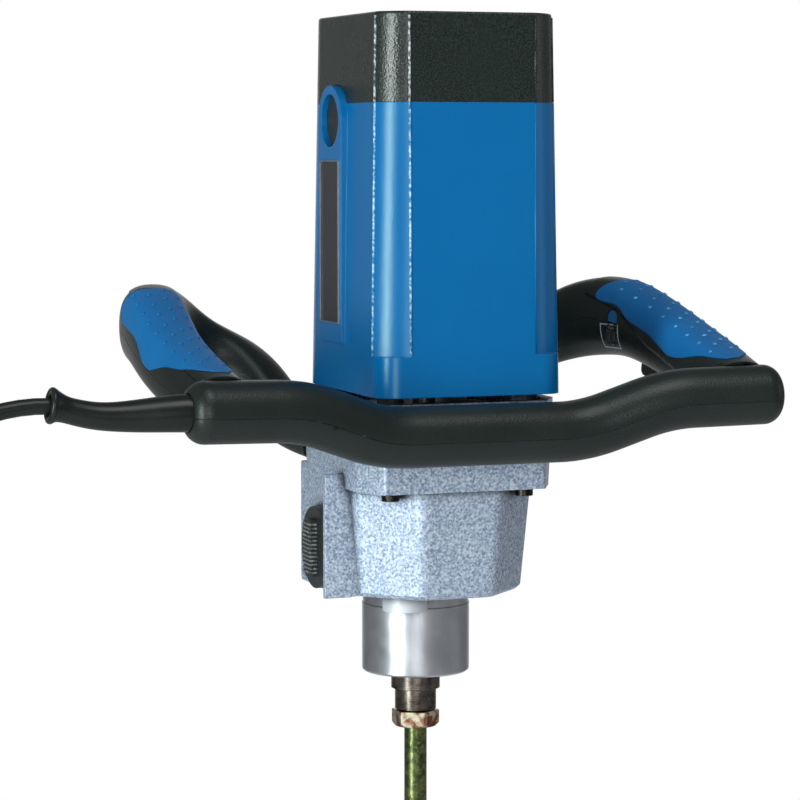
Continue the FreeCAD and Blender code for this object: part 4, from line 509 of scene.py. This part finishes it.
# The pips on the right grip are painted pale: a painted highlight on the grip that faces the light, mottled
# by noise; the left grip's pips keep the pad's colour.
pip_painted_highlight, tree, surface, place = new_finish("blue_grip_rubber_painted_highlight", {"Roughness": 0.5})
wear_and_highlight = add(tree, "TexNoise", {"Scale": 1 / wear_and_highlight_wide, "Detail": 2}, {"Vector": place})
add(tree, "ValToRGB", {"stops": [(0.35, "#0F6DAC"), (0.65, "#55A8D6")]}, {"Fac": wear_and_highlight.outputs[0]},
    surface.inputs["Base Color"])

# The line of the right grip's middle, and the pad's two edges as turns about it: 0 is outward and 90 is up.
grip_line = [(0.138, -0.104, 0.1349), (0.1406, -0.064, 0.1429), (0.1406, -0.022, 0.153),
             (0.1372, 0.0139, 0.1618), (0.1305, 0.0459, 0.1645)]
pad_outer = [(-0.100, 84), (-0.094, 64), (-0.081, 44), (-0.065, 31), (-0.053, 14), (-0.045, 4), (-0.034, 3),
             (-0.026, 15), (-0.016, 24), (0, 22), (0.018, 18), (0.030, 30), (0.037, 46), (0.041, 66)]
pad_inner = [(-0.100, 110), (-0.094, 124), (-0.081, 138), (-0.065, 158), (-0.053, 170), (-0.045, 173),
             (-0.034, 167), (-0.026, 162), (-0.016, 160), (0, 157), (0.008, 148), (0.030, 145), (0.037, 138),
             (0.041, 122)]
pad_rise, pad_sink, pad_steps, pad_turns, half_sheet, merge_gap = 0.0004, 0.0005, 72, 44, 0.5, 1e-6
# The far end is hollowed: it stops short on top and reaches further back at the sides.
hollow_start, hollow_run, hollow_deep, hollow_top, hollow_narrow = -0.005, 0.046, 0.014, 92, 1.5
clear_of_grip, plain_reach = 0.05, 0.0155
pip_r, pip_flat, pip_pitch, pip_first, pip_count, pip_look = 0.0013, 0.5, 0.0144, -0.085, 8, 0.045
pip_turns = (121, 100, 79, 58)


def along(table, y):
    """The value of a table at a place along the grip, on a smooth curve through its rows."""
    last = len(table) - 1
    slopes = [(table[min(i + 1, last)][1] - table[max(i - 1, 0)][1])
              / (table[min(i + 1, last)][0] - table[max(i - 1, 0)][0]) for i in range(last + 1)]
    for i, (low, high) in enumerate(zip(table, table[1:])):
        if low[0] <= y <= high[0]:
            run = high[0] - low[0]
            share = (y - low[0]) / run
            return (low[1] * (1 + 2 * share) * (1 - share) ** 2 + high[1] * share ** 2 * (3 - 2 * share)
                    + run * share * (1 - share) * (slopes[i] * (1 - share) - slopes[i + 1] * share))


def grip_middle(y, side):
    """The middle of a grip at a place along it."""
    for low, high in zip(grip_line, grip_line[1:]):
        if low[1] <= y <= high[1]:
            return Vector(low).lerp(Vector(high), (y - low[1]) / (high[1] - low[1])) * Vector((side, 1, 1))


def outward(turned, side):
    """The direction away from a grip's middle at a turn about it."""
    return Vector((side * math.cos(math.radians(turned)), 0, math.sin(math.radians(turned))))


def joined_skin(*names):
    """One surface to cast rays on, from the meshes of several solids."""
    corners, sides = [], []
    for name in names:
        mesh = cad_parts[name].data
        sides += [[corner + len(corners) for corner in side.vertices] for side in mesh.polygons]
        corners += [corner.co for corner in mesh.vertices]
    return BVHTree.FromPolygons(corners, sides)


def thicken(shape):
    """Extrudes a sheet into a closed shell and gives the corners of its new face."""
    made = bmesh.ops.extrude_face_region(shape, geom=shape.faces[:])["geom"]
    return {part for part in made if isinstance(part, bmesh.types.BMVert)}


for name, side in (("left", -1), ("right", 1)):
    bed = bmesh.new()
    bed.from_mesh(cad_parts[name + "_grip_pad"].data)
    bmesh.ops.remove_doubles(bed, verts=bed.verts, dist=merge_gap)
    pad_bed = new_piece(name + "_pad_bed", bed, handle_nylon)
    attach(pad_bed, "machine")

    # Each mark of the cover is a place along the grip, a turn about it and the reach of the skin there.
    skin = joined_skin(name + "_handle_upper", name + "_handle_lower", name + "_grip_pad")
    pad_start, pad_end = pad_outer[0][0], pad_outer[-1][0]
    marks = []
    for i in range(pad_steps + 1):
        y = min(pad_start + (pad_end - pad_start) * i / pad_steps, pad_end)
        row = []
        for j in range(pad_turns + 1):
            turned = along(pad_outer, y) + (along(pad_inner, y) - along(pad_outer, y)) * j / pad_turns
            crown = max(0, math.cos(math.radians(turned - hollow_top) * hollow_narrow))
            spot = y - hollow_deep * max(0, (y - hollow_start) / hollow_run) ** 2 * crown
            middle, way = grip_middle(spot, side), outward(turned, side)
            hit = skin.ray_cast(middle + way * clear_of_grip, -way, clear_of_grip)[0]
            row.append((spot, turned, (hit - middle).length if hit else plain_reach))
        marks.append(row)

    # The cover starts as a flat sheet; each corner takes the middle reach of the marks round it.
    cover = bmesh.new()
    bmesh.ops.create_grid(cover, x_segments=pad_steps, y_segments=pad_turns, size=half_sheet)
    top = thicken(cover)
    for face in cover.faces:
        face.smooth = len(top.intersection(face.verts)) != 2
    for corner in cover.verts:
        i = round((corner.co.x + half_sheet) * pad_steps)
        j = round((corner.co.y + half_sheet) * pad_turns)
        near = sorted(mark[2] for row in marks[max(0, i - 1):i + 2] for mark in row[max(0, j - 1):j + 2])
        y, turned = marks[i][j][:2]
        reach = near[len(near) // 2] + (pad_rise if corner in top else -pad_sink)
        corner.co = grip_middle(y, side) + outward(turned, side) * reach
    bmesh.ops.recalc_face_normals(cover, faces=cover.faces)
    pad_skin = BVHTree.FromBMesh(cover)
    pad_cover = new_piece(name + "_pad_cover", cover, grip_rubber)
    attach(pad_cover, "machine")
    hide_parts(name + "_grip_pad")

    pips = bmesh.new()
    for row, turned in enumerate(pip_turns):
        for i in range(pip_count):
            y, way = pip_first + pip_pitch * (i + row % 2 / 2), outward(turned, side)
            start = grip_middle(y, side) + way * clear_of_grip
            hit, normal = pad_skin.ray_cast(start, -way, pip_look)[:2]
            if hit is None:
                continue
            lean = normal.to_track_quat("Z", "Y").to_matrix().to_4x4() @ Matrix.Diagonal((1, 1, pip_flat, 1))
            bmesh.ops.create_uvsphere(pips, u_segments=10, v_segments=6, radius=pip_r,
                                      matrix=Matrix.Translation(hit) @ lean)
    for face in pips.faces:
        face.smooth = True
    # Only the right grip's pips get the painted highlight.
    pip_piece = new_piece(name + "_grip_pips", pips, pip_painted_highlight if side > 0 else grip_rubber)
    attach(pip_piece, "machine")

# The dial's surround: a thin pale frame printed on the right handle, round the opening of the wheel.
# The paint lies on the curved shell and has faded in spots.
dial_x, dial_y, dial_z, dial_look, window_y, window_z = 0.08, 0.0179, 0.1553, 0.08, 0.0082, 0.0060
print_wide, print_rise, print_sink, print_steps, fade_wide = 0.0007, 0.00015, 0.0003, 10, 0.002
printed, tree, surface, place = new_finish("pale_print", {"Roughness": 0.5})
fade = add(tree, "TexNoise", {"Scale": 1 / fade_wide, "Detail": 2}, {"Vector": place})
add(tree, "ValToRGB", {"stops": [(0, "#8E989C"), (1, "#C6CED1")]}, {"Fac": fade.outputs[0]},
    surface.inputs["Base Color"])
surround = bmesh.new()
bmesh.ops.create_grid(surround, x_segments=print_steps, y_segments=print_steps, size=1)
# The sheet's border is split off, both rims are drawn to size and the opening is cut out.
opening = surround.faces[:]
bmesh.ops.inset_region(surround, faces=opening, thickness=0, use_boundary=True)
inner_rim = {corner for face in opening for corner in face.verts}
outer_rim = set(surround.verts) - inner_rim
bmesh.ops.scale(surround, vec=(window_y, window_z, 1), verts=list(inner_rim))
bmesh.ops.scale(surround, vec=(window_y + print_wide, window_z + print_wide, 1), verts=list(outer_rim))
bmesh.ops.delete(surround, geom=opening, context="FACES")
top = thicken(surround)
skin = joined_skin("right_handle_upper", "right_handle_lower")
for corner in surround.verts:
    start = Vector((dial_x, dial_y + corner.co.x, dial_z + corner.co.y))
    hit, normal = skin.ray_cast(start, Vector((1, 0, 0)), dial_look)[:2]
    corner.co = hit + normal * (print_rise if corner in top else -print_sink)
bmesh.ops.recalc_face_normals(surround, faces=surround.faces)
dial_surround = new_piece("dial_surround", surround, printed)
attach(dial_surround, "machine")

# The mains cord: two-core flex in an extruded rubber sheath, which bows down from the sleeve to a flat coil.
# It is drawn as one line; the turns of the coil lie a little over a diameter apart, in four layers.
# The sheath is nearly black, with faint handling marks and a soft grey shine.
cord_r, blotch_wide, skin_wide = 0.004, 0.0167, 0.0006
lead = [(-0.215058, -0.1105, 0.137488), (-0.233874, -0.1105, 0.140122), (-0.270386, -0.1105, 0.129584),
        (-0.291058, -0.1105, 0.090672), (-0.291058, -0.1105, 0.050696)]
coil_middle, plug_entry = Vector((-0.350308, -0.1105, 0.042696)), Vector((-0.290037, -0.0829, 0.018718))
coil_inner_r, coil_pitch, coil_turns, coil_climb = 0.0405, 0.010, 1.875, 0.5
coil_layer, coil_layers, coil_marks = 0.0092, 4, 16
widen = 1 / math.cos(math.pi / coil_marks) ** 2
route = [Vector(point) for point in lead]
for mark in range(int(coil_marks * (coil_layers * (coil_turns + coil_climb) - coil_climb)) + 1):
    turn = mark / coil_marks
    layer = min(int(turn / (coil_turns + coil_climb)), coil_layers - 1)
    wound = turn - layer * (coil_turns + coil_climb)
    spiral = min(wound, coil_turns) * coil_pitch
    reach = coil_inner_r + (coil_pitch * coil_turns - spiral if layer % 2 == 0 else spiral)
    climb = (1 - math.cos(math.pi * max(0, wound - coil_turns) / coil_climb)) / 2
    reach *= widen if mark else 1
    route.append(coil_middle + Vector((reach * math.cos(math.tau * turn), coil_layer * (layer + climb),
                                       -reach * math.sin(math.tau * turn))))
route.append(plug_entry)
flex_line = bpy.data.curves.new("mains_cord", "CURVE")
flex_line.dimensions = "3D"
flex_line.bevel_depth = cord_r
flex_line.bevel_resolution = 5
flex_line.use_fill_caps = True
spline = flex_line.splines.new("NURBS")
spline.points.add(len(route) - 1)
for point, spot in zip(spline.points, route):
    point.co = (*spot, 1)
spline.order_u = 3
spline.use_endpoint_u = True
spline.resolution_u = 5
cord_rubber, tree, surface, place = new_finish("extruded_rubber", {"Specular IOR Level": 0.3})
blotch = add(tree, "TexNoise", {"Scale": 1 / blotch_wide, "Detail": 4}, {"Vector": place})
add(tree, "ValToRGB", {"stops": [(0, "#0F1312"), (1, "#1E2423")]}, {"Fac": blotch.outputs[0]},
    surface.inputs["Base Color"])
add(tree, "MapRange", {"To Min": 0.24, "To Max": 0.36}, {"Value": blotch.outputs[0]},
    surface.inputs["Roughness"])
pores = add(tree, "TexNoise", {"Scale": 1 / skin_wide, "Detail": 2}, {"Vector": place})
add(tree, "Bump", {"Strength": 0.12, "Distance": 0.0003}, {"Height": pores.outputs[0]},
    surface.inputs["Normal"])
flex_line.materials.append(cord_rubber)
mains_cord = bpy.data.objects.new("mains_cord", flex_line)
scene.collection.objects.link(mains_cord)
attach(mains_cord, "machine")
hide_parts("cord_lead", "cord_coil")
dress(cord_rubber, "cord_sleeve", "plug", "cord_tie", "shaft_seal")

# The rolled rim of the cord sleeve: the same rubber, moulded round the mouth so that the flex can't chafe.
# It is a ring of round section, turned to face along the flex.
rim_r, rim_thick, rim_out, rim_sides, rim_steps = 0.0072, 0.0016, 0.0072, 14, 40
rim = bmesh.new()
bmesh.ops.create_circle(rim, segments=rim_sides, radius=rim_thick, matrix=Matrix.Translation((0, rim_r, 0))
                        @ Matrix.Rotation(math.radians(90), 4, "Y"))
bmesh.ops.spin(rim, geom=rim.verts[:] + rim.edges[:], cent=(0, 0, 0), axis=(0, 0, 1), angle=math.tau,
               steps=rim_steps, use_merge=True)
bmesh.ops.recalc_face_normals(rim, faces=rim.faces)
outlet = Vector(lead[1]) - Vector(lead[0])
mouth = Vector(lead[0]) + outlet.normalized() * rim_out
rim.transform(Matrix.Translation(mouth) @ outlet.to_track_quat("Z", "Y").to_matrix().to_4x4())
for face in rim.faces:
    face.smooth = True
sleeve_rim = new_piece("sleeve_rim", rim, cord_rubber)
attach(sleeve_rim, "machine")
